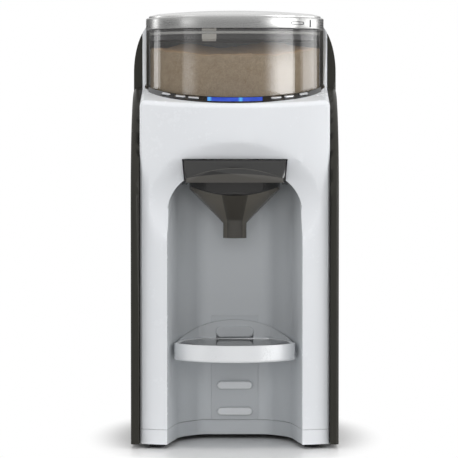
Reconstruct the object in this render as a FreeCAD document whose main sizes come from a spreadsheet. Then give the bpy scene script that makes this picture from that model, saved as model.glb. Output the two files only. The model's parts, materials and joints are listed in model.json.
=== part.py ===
"""Baby formula maker: a worktop machine that doses milk powder and warm water into a bottle.

Millimetres and degrees.  +X is the right side as the user faces it, -Y is the front and +Z is up.
The origin lies on the worktop, under the middle of the machine.
"""
import FreeCAD, Part
import math
import os
import re

import Sketcher

from FreeCAD import Rotation, Vector

DIMENSIONS = {
    # casing
    "body_width": 160, "body_depth": 250, "cover_thickness": 6.5, "wall": 2.5, "gap": 0.3,
    "front_curve": 180, "head_front": -120, "column_front": -110, "fascia_back": -52,
    "tower_front": -27, "tower_back": 60, "tower_top": 332, "flank_top": 290,
    "shoulder_width": 20, "shoulder_height": 42, "front_sweep": 86, "sweep_start": 192,
    "deck_front": 265, "deck_tilt": 10.2, "edge_round": 5, "cover_foot": 3.4, "cover_edge": 3,
    # plinth and feet
    "foot_height": 3, "foot_radius": 6, "foot_x": 60, "skirt_top": 15, "plate_thickness": 2.5,
    # bottle bay
    "bay_mouth": 52, "bay_bend_half": 43.5, "bay_bend_y": -56, "bay_bend": 40, "bay_back": -36,
    "bay_rear_half": 27, "bay_corner": 14, "bay_shoulder": 181, "arch_curve": 31.4,
    "slot_half": 40.5, "slot_lean": 3.7, "slot_top": 223, "liner_front": -107.5,
    "peg_strip_half": 18.5, "strip_thickness": 1, "peg_width": 27.7, "peg_height": 6.2,
    "peg_depth": 4, "peg_low": 22, "peg_pitch": 20.7,
    "scoop_y": -160, "scoop_z": 190, "scoop_half_x": 133, "scoop_half": 61,
    # canister and its lid
    "axis_y": -36, "canister_outer": 70, "canister_inner": 67.5, "canister_bottom": 262.5,
    "canister_top": 323, "seat_top": 262, "seat_thickness": 3, "cradle": 71,
    "lid_top_edge": 332.5, "lid_crown": 338.5, "powder_top": 311, "dose_y": -74,
    # control panel
    "panel_inner": 71.1, "panel_outer": 69.7, "panel_centre_y": -45.8, "panel_half": 67.3,
    "panel_proud": 0.3, "panel_thickness": 3, "panel_ring_z": 282.3, "panel_tilt": 9.4,
    "window_half": 21.2, "window_in": 72, "window_out": 77.4, "button_wide": 9, "button_deep": 2.6,
    # funnel
    "funnel_radius": 35.4, "funnel_rim": 37, "funnel_rim_z": 206, "cone_top": 199,
    "cone_bottom": 172.6, "spout_radius": 9.2, "spout_bottom": 161, "funnel_wall": 1.8,
    "drawer_front": -113.8, "visor_top": 216, "visor_curve": 92, "nozzle_x": 21,
    # tray
    "tray_top": 80.4, "tray_height": 13, "tray_front": -125, "tray_curve": 52.3, "tray_back": -41.7,
    "tray_side_gap": 2.9, "tray_arch_top": 94.7, "tray_arch_curve": 75, "plate_gap": 1.2,
    "wing_thickness": 1.6,
    # water tank and the rear
    "tank_half": 72.5, "tank_front": 61, "tank_back": 123, "tank_bottom": 92, "tank_top": 319,
    "tank_wall": 2.5, "seat_plate_top": 91, "rear_back": 123, "valve_y": 92,
    # drive
    "gear_radius": 21, "pinion_radius": 11, "gear_z": 246, "gear_thickness": 5,
    "motor_x": 21.6, "motor_radius": 12, "motor_height": 44, "gear_plate_z": 238,
    # pump, heater and hoses
    "service_x": -45, "heater_y": 18, "cold_hose_z": 42, "hose_radius": 3.2,
}

doc = FreeCAD.newDocument("formula_maker")
sheet = doc.addObject("Spreadsheet::Sheet", "dims")
for row, (alias, value) in enumerate(DIMENSIONS.items(), start=1):
    sheet.set(f"A{row}", alias)
    sheet.set(f"B{row}", str(value))
    sheet.setAlias(f"B{row}", alias)
doc.recompute()

PARTS = []
ALONG = {"Z": Rotation(), "Y": Rotation(Vector(1, 0, 0), -90), "X": Rotation(Vector(0, 1, 0), 90)}


def formula(value):
    """A sheet formula, in which every word that is a dimension is looked up in the sheet."""
    return re.sub(r"[a-z]\w*", lambda word: "dims." + word[0] if word[0] in DIMENSIONS else word[0],
                  str(value))


def now(value):
    """The number that a formula gives."""
    return float(sheet.evalExpression(formula(value)))


def bind(thing, **values):
    """Properties that follow the sheet."""
    for prop, value in values.items():
        thing.setExpression(prop, formula(value))


def place(thing, at, turn=Rotation()):
    """A turn, and a place that follows the sheet."""
    thing.Placement = FreeCAD.Placement(Vector(0, 0, 0), turn)
    for letter, value in zip("xyz", at):
        thing.setExpression("Placement.Base." + letter, formula(value))


def block(name, x, y, z):
    """A box between a low and a high plane on each axis."""
    solid = doc.addObject("Part::Box", name)
    for prop, (low, high) in zip(("Length", "Width", "Height"), (x, y, z)):
        solid.setExpression(prop, formula(f"({high}) - ({low})"))
    place(solid, (x[0], y[0], z[0]))
    return solid


def rod(name, radius, at, length, along="Z"):
    """A round bar from a point, along an axis."""
    solid = doc.addObject("Part::Cylinder", name)
    bind(solid, Radius=radius, Height=length)
    place(solid, at, ALONG[along])
    return solid


def cone(name, low_radius, high_radius, at, height):
    """An upright cone from a point."""
    solid = doc.addObject("Part::Cone", name)
    bind(solid, Radius1=low_radius, Radius2=high_radius, Height=height)
    place(solid, at)
    return solid


def fuse(name, *solids):
    """Solids joined into one."""
    joined = doc.addObject("Part::MultiFuse", name)
    joined.Shapes = list(solids)
    joined.Refine = True
    return joined


def common(name, *solids):
    """What all the solids share."""
    shared = doc.addObject("Part::MultiCommon", name)
    shared.Shapes = list(solids)
    shared.Refine = True
    return shared


def cut(name, base, *tools):
    """A solid less one or more others."""
    rest = doc.addObject("Part::Cut", name)
    rest.Base = base
    rest.Tool = tools[0] if len(tools) == 1 else fuse(name + "_cutters", *tools)
    rest.Refine = True
    return rest


def rounded(name, base, radius, chosen):
    """A solid with the edges whose middle point passes a test rounded."""
    doc.recompute()
    size = now(radius)
    edges = []
    for number, edge in enumerate(base.Shape.Edges, start=1):
        middle = edge.valueAt((edge.FirstParameter + edge.LastParameter) / 2)
        if chosen(middle):
            edges.append((number, size, size))
    solid = doc.addObject("Part::Fillet", name)
    solid.Base = base
    solid.Edges = edges
    return solid


def section(body, role, points):
    """A closed sketch of straight lines on an origin plane, each corner tied to the sheet."""
    plane = next(feature for feature in body.Origin.OriginFeatures if feature.Role == role)
    sketch = body.newObject("Sketcher::SketchObject", body.Name + "_sketch")
    sketch.AttachmentSupport = [(plane, "")]
    sketch.MapMode = "FlatFace"
    corners = [Vector(now(across), now(up), 0) for across, up in points]
    count = len(corners)
    for index in range(count):
        sketch.addGeometry(Part.LineSegment(corners[index], corners[(index + 1) % count]))
    for index in range(count):
        sketch.addConstraint(Sketcher.Constraint("Coincident", index, 2, (index + 1) % count, 1))
    for index, point in enumerate(points):
        for kind, axis_line, value, size in (("DistanceX", -2, point[0], corners[index].x),
                                             ("DistanceY", -1, point[1], corners[index].y)):
            if abs(size) < 1e-9:
                sketch.addConstraint(Sketcher.Constraint("PointOnObject", index, 1, axis_line))
                continue
            number = sketch.addConstraint(Sketcher.Constraint(kind, -1, 1, index, 1, size))
            sketch.setExpression(f"Constraints[{number}]", formula(value))
    return sketch


def turned(name, points, at=("0", "0", "0"), tilt=Rotation()):
    """A turned piece: its half section, as radius and height, swept round its upright axis."""
    body = doc.addObject("PartDesign::Body", name)
    sketch = section(body, "XZ_Plane", points)
    turn = body.newObject("PartDesign::Revolution", name + "_turn")
    turn.Profile = sketch
    turn.ReferenceAxis = (sketch, ["V_Axis"])
    turn.Angle = 360
    place(body, at, tilt)
    return body


def plate(name, points, low, high):
    """A plate with an outline seen from above, between two heights."""
    body = doc.addObject("PartDesign::Body", name)
    sketch = section(body, "XY_Plane", points)
    pad = body.newObject("PartDesign::Pad", name + "_pad")
    pad.Profile = sketch
    pad.setExpression("Length", formula(f"({high}) - ({low})"))
    place(body, ("0", "0", low))
    return body


def facade(name, points, front, back):
    """A plate with an outline seen from the front, between two depths."""
    body = doc.addObject("PartDesign::Body", name)
    sketch = section(body, "XZ_Plane", points)
    pad = body.newObject("PartDesign::Pad", name + "_pad")
    pad.Profile = sketch
    pad.setExpression("Length", formula(f"({back}) - ({front})"))
    place(body, ("0", back, "0"))
    return body


def mirrored(name, base):
    """A copy of a solid on the other side of the machine's middle plane."""
    copy = doc.addObject("Part::Mirroring", name)
    copy.Source = base
    copy.Base = Vector(0, 0, 0)
    copy.Normal = Vector(1, 0, 0)
    return copy


def part(solid):
    """Hands a finished piece in: its name is the name of its file."""
    PARTS.append(solid)
    return solid


def both_sides(half):
    """The low and high plane of something centred on the machine's middle plane."""
    return (f"-({half})", half)


# The outer form: straight flanks, and elliptical shoulders up to the top of the tower
FORM_LENGTH = "(body_depth + 20)"


def shoulder(name, side):
    """A bar of elliptical section along the machine: one of its two upper corners."""
    outline = doc.addObject("Part::Ellipse", name + "_outline")
    bind(outline, MajorRadius="shoulder_height", MinorRadius="shoulder_width")
    place(outline, (f"{side} * (body_width / 2 - shoulder_width)", f"-{FORM_LENGTH} / 2", "flank_top"),
          Rotation(Vector(0, 0, 1), Vector(1, 0, 0), Vector(0, 1, 0), "ZXY"))
    bar = doc.addObject("Part::Extrusion", name)
    bar.Base = outline
    bar.DirMode = "Custom"
    bar.Dir = Vector(0, 1, 0)
    bar.Solid = True
    bind(bar, LengthFwd=FORM_LENGTH)
    return bar


WHOLE_DEPTH = both_sides(f"{FORM_LENGTH} / 2")
envelope = fuse("envelope",
                block("form_flanks", both_sides("body_width / 2"), WHOLE_DEPTH, ("0", "flank_top")),
                block("form_crown", both_sides("body_width / 2 - shoulder_width"), WHOLE_DEPTH,
                      ("0", "tower_top")),
                shoulder("form_left", -1), shoulder("form_right", 1))

COVER_INSIDE = "(body_width / 2 - cover_thickness)"
BODY_HALF = f"({COVER_INSIDE} - gap)"


def deck_z(y):
    """The height of the sloping deck at a depth."""
    return f"(deck_front + ({y} - head_front) * tan(deck_tilt))"


def deck_slab(name, sink, height):
    """A wide slab along the deck: its lower face lies a sink, measured upright, under the deck."""
    slab = doc.addObject("Part::Box", name)
    bind(slab, Length="body_width + 20", Width="body_depth", Height=height)
    place(slab, ("-body_width / 2 - 10", "head_front - 20", f"{deck_z('head_front - 20')} - ({sink})"),
          Rotation(Vector(1, 0, 0), now("deck_tilt")))
    return slab


above_deck = deck_slab("above_deck", "0", "100")

# Side covers: thick charcoal panels, whose front edge sweeps back from the head to the tower
BEYOND = both_sides("body_width / 2 + 5")
sweep = doc.addObject("Part::Cylinder", "cover_sweep")
bind(sweep, Radius="front_sweep", Height="body_width + 10", Angle="90")
place(sweep, ("body_width / 2 + 5", "column_front + front_sweep", "sweep_start"),
      Rotation(Vector(0, -1, 0), Vector(0, 0, 1), Vector(-1, 0, 0), "ZXY"))
cover_side = fuse("cover_side",
                  block("cover_lower", BEYOND, ("column_front", "body_depth / 2"),
                        ("cover_foot", "sweep_start")),
                  block("cover_upper", BEYOND, ("tower_front", "body_depth / 2"),
                        ("sweep_start - 1", "tower_top")),
                  sweep)
cover_slab = block("cover_slab", ("-body_width / 2", f"-{COVER_INSIDE}"), WHOLE_DEPTH,
                   ("0", "tower_top"))
cover_blank = common("cover_blank", cover_slab, cover_side, envelope)
FLANK_X = now("body_width / 2")
SWEEP_Z = now("sweep_start")
left_side_cover = part(rounded("left_side_cover", cover_blank, "cover_edge",
                               lambda at: at.x < 0.1 - FLANK_X and at.z < SWEEP_Z
                               and abs(at.y) > now("-column_front") - 1))
part(mirrored("right_side_cover", left_side_cover))


# Bottle bay: an alcove, arched in front, whose side walls curve in towards its narrow back wall
BAY_MOUTH = ("bay_mouth", "column_front")
BAY_BEND = ("bay_bend_half", "bay_bend_y")
BAY_CORNER = ("bay_rear_half", "bay_back")
BAY_MIDDLE = ("0", "bay_back")


def grown_corner(before, corner, after, grow):
    """A corner of a plan after the walls on both of its sides have moved outwards."""
    points = [Vector(now(x), now(y), 0) for x, y in (before, corner, after)]
    first, second = [(end - start).normalize() for start, end in zip(points, points[1:])]
    outward = Vector(first.y + second.y, -first.x - second.x, 0) * (1 / (1 + first.dot(second)))
    return (f"{corner[0]} + {outward.x} * ({grow})", f"{corner[1]} + {outward.y} * ({grow})")


def bay_form(name, grow, low, high):
    """The space of the bay, grown outwards on every side, between two heights."""
    front = "(head_front - 20)"
    flare = "((bay_mouth - bay_bend_half) / (bay_bend_y - column_front))"
    front_half = f"bay_mouth + {flare} * (column_front - {front}) + ({grow}) * sqrt(1 + {flare} ^ 2)"
    side = [(front_half, front), grown_corner(BAY_MOUTH, BAY_BEND, BAY_CORNER, grow),
            grown_corner(BAY_BEND, BAY_CORNER, BAY_MIDDLE, grow)]
    outline = plate(name + "_outline", side + [(f"-({x})", y) for x, y in reversed(side)], low, high)
    bend_y, rear_y = (now(y) for _, y in side[1:])
    corners = rounded(name + "_corners", outline, f"bay_corner + {grow}",
                      lambda at: at.y > rear_y - 0.1 and abs(at.x) > 1)
    alcove = rounded(name + "_alcove", corners, f"bay_bend + {grow}", lambda at: abs(at.y - bend_y) < 0.1)
    back = f"bay_back + {grow}"
    depth = (front, f"{back} + 1")
    run = f"({depth[1]}) - ({depth[0]})"
    legs = block(name + "_legs", both_sides(f"bay_mouth + {grow}"), depth, ("0", "bay_shoulder"))
    slot_foot = f"slot_half - slot_lean + {grow}"
    slot_head = f"slot_half + {grow}"
    slot = facade(name + "_slot", [(f"-({slot_foot})", "bay_shoulder"), (slot_foot, "bay_shoulder"),
                                   (slot_head, f"slot_top + {grow}"),
                                   (f"-({slot_head})", f"slot_top + {grow}")], *depth)
    bends = [rod(f"{name}_bend_{side}", f"arch_curve + {grow}",
                 (f"{sign} * (bay_mouth - arch_curve)", depth[0], "bay_shoulder"), run, "Y")
             for side, sign in (("left", -1), ("right", 1))]
    arch = fuse(name + "_arch", legs, slot, *bends)
    return common(name, alcove, arch)


LINER_WALL = "2.2"
LINER_TOP = f"slot_top + {LINER_WALL}"
bay_space = bay_form("bay_space", "0", "0", "slot_top + 5")
bay_shell = bay_form("bay_shell", LINER_WALL, "0", "slot_top + 5")
bay_return = bay_form("bay_return", "wall", "0", "slot_top + 5")
chute_bore = rod("chute_bore", "13.2", ("0", "dose_y", "slot_top - 5"), "60")
nozzle_bores = [rod(f"nozzle_bore_{side}", "3.2", (f"{sign} * nozzle_x", "dose_y", "slot_top - 5"), "12")
                for side, sign in (("left", -1), ("right", 1))]


def scoop_form(name, grow):
    """The egg that the front's scoop is cut with: half an ellipse turned about its long axis."""
    ellipse = Part.Ellipse(Vector(0, 0, 0), now(f"scoop_half_x + {grow}"), now(f"scoop_half + {grow}"))
    half = Part.Arc(ellipse, 0, math.pi).toShape()
    base_line = Part.LineSegment(half.Vertexes[1].Point, half.Vertexes[0].Point).toShape()
    egg = doc.addObject("Part::Feature", name)
    egg.Shape = Part.Face(Part.Wire([half, base_line])).revolve(Vector(0, 0, 0), Vector(1, 0, 0), 360)
    place(egg, ("0", "scoop_y", "scoop_z"))
    return egg


liner_band = block("liner_band", both_sides("bay_mouth + 10"), ("liner_front", "bay_back + 10"),
                   ("skirt_top", LINER_TOP))
liner_blank = cut("liner_blank", common("liner_form", bay_shell, liner_band), bay_space, chute_bore,
                  scoop_form("liner_scoop", "wall + gap"), *nozzle_bores)
rails = [block(f"rail_{side}", (low, high), ("dose_y - 22", "dose_y + 10"),
               ("funnel_rim_z - 3", "funnel_rim_z - 0.4"))
         for side, low, high in (("left", "-slot_half - 0.2", "3.7 - slot_half"),
                                 ("right", "slot_half - 3.7", "slot_half + 0.2"))]
part(fuse("bay_liner", liner_blank, *rails))
skirt_band = block("skirt_band", both_sides("bay_mouth + 10"), ("liner_front", "bay_back + 10"),
                   ("cover_foot", "skirt_top - gap"))
part(cut("bay_skirt", common("bay_skirt_form", bay_shell, skirt_band), bay_space))


# White front: convex in plan, cut away in a soft scoop round the top of the bay
def front_form(name, inset, low, high, back):
    """The plan of the machine's front, drawn in by an inset, between two heights."""
    bow = rod(name + "_bow", f"front_curve - ({inset})", ("0", "head_front + front_curve", low),
              f"({high}) - ({low})")
    slab = block(name + "_slab", both_sides(f"{BODY_HALF} - ({inset})"), ("head_front - 5", back),
                 (low, high))
    return common(name, bow, slab)


SIDE_X = now(BODY_HALF)
LOW_EDGE = now("skirt_top") + 5
SEAT_EDGE = now("seat_top") - 2
SEAT_FLOOR = "(seat_top - seat_thickness)"
cradle_well = rod("cradle_well", "cradle", ("0", "axis_y", SEAT_FLOOR), "100")
panel_well = common("panel_well",
                    rod("panel_well_round", "panel_outer + gap", ("0", "panel_centre_y", SEAT_FLOOR), "100"),
                    block("panel_well_front", both_sides("panel_half + gap / 2"), ("head_front", "axis_y"),
                          ("200", "400")))
head_blank = cut("head_blank", front_form("head_form", "0", "skirt_top", "deck_front + 20", "fascia_back"),
                 above_deck)
head_round = rounded("head_round", head_blank, "edge_round",
                     lambda at: (at.y < now("fascia_back") - 1) and
                     (abs(at.x) > SIDE_X - 0.1 and at.z > LOW_EDGE
                      or abs(at.x) < 1 and at.z > SEAT_EDGE))
fascia_inside = cut("fascia_inside",
                    front_form("fascia_core", "wall", "skirt_top - 1", "seat_top - seat_thickness - wall",
                               "fascia_back + 5"),
                    scoop_form("scoop_back", "wall"),
                    common("bay_flange", bay_return,
                           block("flange_band", BEYOND, ("head_front - 20", "liner_front"), ("0", "300"))))
part(cut("front_fascia", head_round, fascia_inside, scoop_form("scoop", "0"), bay_space, cradle_well,
         panel_well, chute_bore))


# White inner body: a shell behind the front, with the tower that cradles the canister
def inner_block(name, front, back, low, high, inset="0"):
    """A block between the side covers."""
    return block(name, both_sides(f"{BODY_HALF} - {inset}"), (front, back), (low, high))


BODY_FRONT = "(fascia_back + gap)"
body_blank = cut("body_blank",
                 common("body_form", envelope,
                        inner_block("body_bulk", BODY_FRONT, "tower_back", "skirt_top", "tower_top")),
                 common("deck_air", above_deck,
                        block("deck_zone", BEYOND, ("head_front - 30", "tower_front"), ("200", "400"))))
body_round = rounded("body_round", body_blank, "edge_round",
                     lambda at: abs(at.x) > SIDE_X - 0.1 and at.y < now("tower_front") - 1
                     and at.z > SEAT_EDGE)
low_hollow = inner_block("low_hollow", "fascia_back - 1", "tower_back - wall", "skirt_top - 1",
                         f"{SEAT_FLOOR} - wall", "wall")
high_hollow = cut("high_hollow",
                  inner_block("high_hollow_bulk", "tower_front + wall", "tower_back - wall",
                              f"{SEAT_FLOOR} - wall - 1", "tower_top - 14", "wall"),
                  rod("cradle_wall", "cradle + wall", ("0", "axis_y", f"{SEAT_FLOOR} - wall - 2"), "90"))
shaft_bore = rod("shaft_bore", "9", ("0", "axis_y", f"{SEAT_FLOOR} - 10"), "20")
hose_port = rod("hose_port", "hose_radius + 0.8", ("service_x", "tower_back - 10", "cold_hose_z"), "20", "Y")
part(cut("main_body", body_round, low_hollow, high_hollow, cradle_well, shaft_bore, hose_port))

# Plinth: a white skirt round the outside, a dark plate under it, four rubber feet and their screws
SKIRT_TOP = "skirt_top - gap"
skirt_form = rounded("skirt_form", front_form("skirt_blank", "0", "cover_foot", SKIRT_TOP, "rear_back"),
                     "edge_round",
                     lambda at: abs(at.x) > SIDE_X - 0.1 and not now("column_front + 15") < at.y < 90)
skirt_core = cut("skirt_core", front_form("skirt_inside", "wall", "0", "skirt_top + 1", "rear_back - wall"),
                 common("skirt_flange", bay_return,
                        block("skirt_flange_band", BEYOND, ("head_front - 20", "liner_front"),
                              ("0", "300"))))
part(cut("base_skirt", skirt_form, skirt_core, bay_space))
plate_form = front_form("plate_form", "wall + gap", "cover_foot", "cover_foot + plate_thickness",
                        "rear_back - wall - gap")
FEET = [(side, y) for y in (-92, 100) for side in (-1, 1)]
bay_keepout = bay_form("bay_keepout", "wall + gap", "-5", "40")
screw_holes = [rod(f"screw_hole_{number}", "1.6", (f"{side} * foot_x", str(y + 14), "0"), "10")
               for number, (side, y) in enumerate(FEET, start=1)]
part(cut("base_plate", plate_form, bay_keepout, *screw_holes))
part(fuse("feet", *[rod(f"foot_{number}", "foot_radius", (f"{side} * foot_x", str(y), "0"), "cover_foot")
                    for number, (side, y) in enumerate(FEET, start=1)]))


def screw(name, at, shank="1.5", head="2.8", length="9"):
    """A screw driven upwards: its head, then its shank."""
    x, y, z = at
    return fuse(name, rod(name + "_head", head, (x, y, f"{z} - 1.6"), "1.6"),
                rod(name + "_shank", shank, (x, y, f"{z} - 0.1"), f"{length} + 0.1"))


part(fuse("base_screws", *[screw(f"base_screw_{number}", (f"{side} * foot_x", str(y + 14), "cover_foot"))
                           for number, (side, y) in enumerate(FEET, start=1)]))

# Rear: the shelf that the tank stands on, its cover with air slots, and the mains inlet
rear_round = rounded("rear_round", inner_block("rear_bulk", "tower_back + gap", "rear_back", "skirt_top",
                                               "seat_plate_top - 3 - gap"), "edge_round",
                     lambda at: at.y > now("rear_back") - 0.1 and abs(at.x) > SIDE_X - 0.1)
vents = [block(f"vent_{row}", ("-58", "-18"), ("rear_back - 10", "rear_back + 5"),
               (f"34 + {row} * 7", f"37 + {row} * 7")) for row in range(6)]
inlet_hole = block("inlet_hole", ("24", "46"), ("rear_back - 10", "rear_back + 5"), ("32", "46"))
rear_hollow = inner_block("rear_hollow", "tower_back - 1", "rear_back - wall", "0", "200", "wall")
part(cut("rear_cover", rear_round, rear_hollow, inlet_hole, *vents))
pins = [rod(f"inlet_pin_{side}", "1.2", (f"35 + {sign} * 4.3", "rear_back - 12", "39"), "9", "Y")
        for side, sign in (("left", -1), ("right", 1))]
inlet_shell = cut("inlet_shell", block("inlet_bulk", ("24", "46"), ("rear_back - 16", "rear_back"),
                                       ("32", "46")),
                  block("inlet_socket", ("27", "43"), ("rear_back - 12", "rear_back + 1"), ("35", "43")))
part(fuse("power_inlet", inlet_shell, *pins))


def valve_at(height):
    """A point on the tank valve's upright axis."""
    return ("0", "valve_y", height)


seat_plate = rounded("seat_plate", block("seat_bulk", both_sides("tank_half"), ("tank_front", "tank_back"),
                                         ("seat_plate_top - 3", "seat_plate_top")), "edge_round",
                     lambda at: at.y > now("tank_back") - 0.1 and abs(at.x) > now("tank_half") - 0.1)
seat_cup = rod("seat_cup", "14", valve_at("seat_plate_top - 14"), "13")
seat_well = rod("seat_well", "12", valve_at("seat_plate_top - 12"), "20")
seat_pin = rod("seat_pin", "1.5", valve_at("seat_plate_top - 13"), "7.7")
seat_drain = rod("seat_drain", "2.5", ("7", "valve_y", "seat_plate_top - 20"), "10")
part(fuse("tank_seat", cut("seat_open", fuse("seat_body", seat_plate, seat_cup), seat_well, seat_drain),
          seat_pin))

# Peg strip: a panel on the bay's back wall with four rounded pegs that the tray hangs on
STRIP_FRONT = "(bay_back - strip_thickness)"
PEG_END = "peg_height / 2"
strip_panel = block("strip_panel", both_sides("peg_strip_half"), (STRIP_FRONT, "bay_back"),
                    ("skirt_top", "98"))
pegs = []
for number in range(4):
    peg_z = f"(peg_low + {number} * peg_pitch)"
    bar_half = "(peg_width - peg_height) / 2"
    bar = block(f"peg_{number}_bar", both_sides(bar_half), (f"{STRIP_FRONT} - peg_depth", STRIP_FRONT),
                (f"{peg_z} - {PEG_END}", f"{peg_z} + {PEG_END}"))
    ends = [rod(f"peg_{number}_end_{side}", PEG_END,
                (f"{sign} * {bar_half}", f"{STRIP_FRONT} - peg_depth", peg_z), "peg_depth", "Y")
            for side, sign in (("left", -1), ("right", 1))]
    peg_front = now(f"{STRIP_FRONT} - peg_depth")
    pegs.append(rounded(f"peg_{number}", fuse(f"peg_{number}_blank", bar, *ends), "1.2",
                        lambda at: at.y < peg_front + 0.1))
part(fuse("peg_strip", strip_panel, *pegs))


# Powder canister: a clear wall, a floor with a dosing hole, and the powder
def axis_at(height="0"):
    """A point on the canister's upright axis."""
    return ("0", "axis_y", height)


part(cut("canister_seat", rod("seat_disc", "cradle - gap", axis_at(SEAT_FLOOR), "seat_thickness"),
         rod("seat_shaft_bore", "6.5", axis_at(SEAT_FLOOR + " - 1"), "10"), chute_bore))
WALL_LOW = "canister_bottom + 1.5"
part(turned("canister_wall", [("canister_inner", "canister_bottom"),
                              ("canister_outer - 1.5", "canister_bottom"), ("canister_outer", WALL_LOW),
                              ("canister_outer", "canister_top"), ("canister_inner", "canister_top")],
            axis_at()))
FLOOR_TOP = "canister_bottom + 5"
floor_disc = rod("floor_disc", "canister_inner - 0.05", axis_at("canister_bottom"), "5")
part(cut("canister_floor", floor_disc, rod("floor_shaft_bore", "8", axis_at("canister_bottom - 1"), "10"),
         rod("floor_dose_hole", "9", ("0", "dose_y", "canister_bottom - 1"), "10")))
HEAP = "powder_top"
part(turned("powder", [("63", f"{FLOOR_TOP} + 0.5"), ("canister_inner - 0.4", f"{FLOOR_TOP} + 0.5"),
                       ("canister_inner - 0.4", f"{HEAP} - 4"), ("45", f"{HEAP} - 1"), ("0", HEAP),
                       ("0", "302"), ("10", "302"), ("10", "294"), ("63", "294")], axis_at()))

# Dosing wheel with eight pockets, and the stirrer that stands on it
WHEEL_LOW = f"({FLOOR_TOP} + 0.5)"
wheel_blank = turned("wheel_blank", [("0", WHEEL_LOW), ("58", WHEEL_LOW), ("58", f"{WHEEL_LOW} + 7"),
                                     ("12", f"{WHEEL_LOW} + 7"), ("12", f"{WHEEL_LOW} + 10"),
                                     ("0", f"{WHEEL_LOW} + 10")], axis_at())
pockets = []
for number in range(8):
    turn = 45 * number
    pockets.append(rod(f"pocket_{number}", "7.5", (f"(axis_y - dose_y) * sin({turn})",
                                                   f"axis_y - (axis_y - dose_y) * cos({turn})",
                                                   f"{WHEEL_LOW} - 1"), "9"))
socket = doc.addObject("Part::Prism", "drive_socket")
socket.Polygon = 6
bind(socket, Circumradius="5.6", Height="8.5")
place(socket, axis_at(f"{WHEEL_LOW} - 1"))
part(cut("dosing_wheel", wheel_blank, socket, *pockets))
STIR_LOW = f"({WHEEL_LOW} + 10)"
blades = []
for number in range(4):
    blade = block(f"blade_{number}", ("0", "58"), ("-2", "2"), ("0", "4"))
    place(blade, axis_at(STIR_LOW), Rotation(Vector(0, 0, 1), 45 + 90 * number))
    blades.append(blade)
part(fuse("stirring_wheel", rod("stir_hub", "9", axis_at(STIR_LOW), "22"), *blades))

# Lid: a brushed band and crown over a dark plug with its seal
part(turned("lid_band", [("canister_outer - 2.2", "canister_top + 0.3"),
                         ("canister_outer - 0.6", "canister_top + 0.3"),
                         ("canister_outer", "canister_top + 0.9"), ("canister_outer", "lid_top_edge - 1"),
                         ("canister_outer - 1", "lid_top_edge"), ("canister_outer - 2.2", "lid_top_edge")],
            axis_at()))
CROWN_LOW = "lid_top_edge - 4"
part(turned("lid_top", [("0", CROWN_LOW), ("canister_outer - 2.3", CROWN_LOW),
                        ("canister_outer - 2.3", "lid_top_edge + 1.2"),
                        ("canister_outer - 4.5", "lid_top_edge + 2.4"),
                        ("40", "lid_crown - 1.2"), ("18", "lid_crown - 0.2"), ("0", "lid_crown")],
            axis_at()))
PLUG_LOW = "canister_top - 8"
plug_ring = turned("plug_ring", [("canister_inner - 4", PLUG_LOW), ("canister_inner - 0.9", PLUG_LOW),
                                 ("canister_inner - 0.9", "canister_top - 4"),
                                 ("canister_inner - 2.4", "canister_top - 4"),
                                 ("canister_inner - 2.4", "canister_top - 1.6"),
                                 ("canister_inner - 0.4", "canister_top - 1.6"),
                                 ("canister_inner - 0.4", CROWN_LOW), ("0", CROWN_LOW),
                                 ("0", f"{CROWN_LOW} - 2.5"), ("canister_inner - 4", f"{CROWN_LOW} - 2.5")],
                   axis_at())
lug = block("plug_lug", ("-25", "-14.5"), ("axis_y - canister_inner + 9", "axis_y - canister_inner + 13"),
            (f"{PLUG_LOW} - 1.5", f"{CROWN_LOW} - 1"))
part(fuse("lid_plug", plug_ring, lug))
seal = doc.addObject("Part::Torus", "lid_seal")
bind(seal, Radius1="canister_inner - 1.25", Radius2="1.15")
place(seal, axis_at("canister_top - 2.8"))
part(seal)


# Control panel: a black crescent that rises from the deck to a brow round the canister
def tilted_ring(name, radius, y, z, tilt):
    """An ellipse on a tilted plane, round when seen from above."""
    ring = doc.addObject("Part::Ellipse", name)
    bind(ring, MajorRadius=f"{radius} / cos({tilt})", MinorRadius=radius)
    place(ring, ("0", y, z), Rotation(Vector(1, 0, 0), now(tilt)) * Rotation(Vector(0, 0, 1), 90))
    return ring


def panel_dome(name, drop):
    """The panel's slope between its foot and its brow, lowered by a drop, on a bed along the deck."""
    foot = tilted_ring(name + "_foot", "panel_outer", "panel_centre_y",
                       f"{deck_z('panel_centre_y')} + panel_proud - {drop}", "deck_tilt")
    brow = tilted_ring(name + "_brow", "panel_inner", "axis_y", f"panel_ring_z - {drop}", "panel_tilt")
    slope = doc.addObject("Part::Loft", name + "_slope")
    slope.Sections = [foot, brow]
    slope.Solid = True
    slope.Ruled = True
    bed_height = "20"
    bed_sink = f"{drop} - panel_proud + {bed_height} / cos(deck_tilt)"
    return fuse(name, slope, deck_slab(name + "_bed", bed_sink, bed_height))


def crescent(name, outer, half, back):
    """The plan of the panel: a round outline in front of the canister, cut off at both tips."""
    return common(name, rod(name + "_round", outer, ("0", "panel_centre_y", SEAT_FLOOR), "60"),
                  block(name + "_front", both_sides(half), ("head_front", back), ("200", "400")))


def window_form(name, grow):
    """The display window's outline seen from above, grown all round."""
    outer = rod(name + "_outer", f"window_out + {grow}", axis_at("200"), "150")
    zone = block(name + "_zone", both_sides(f"window_half + {grow}"), ("head_front - 5", "axis_y"),
                 ("200", "400"))
    return cut(name, common(name + "_round", outer, zone),
               rod(name + "_inner", f"window_in - {grow}", axis_at("190"), "170"))


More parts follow.
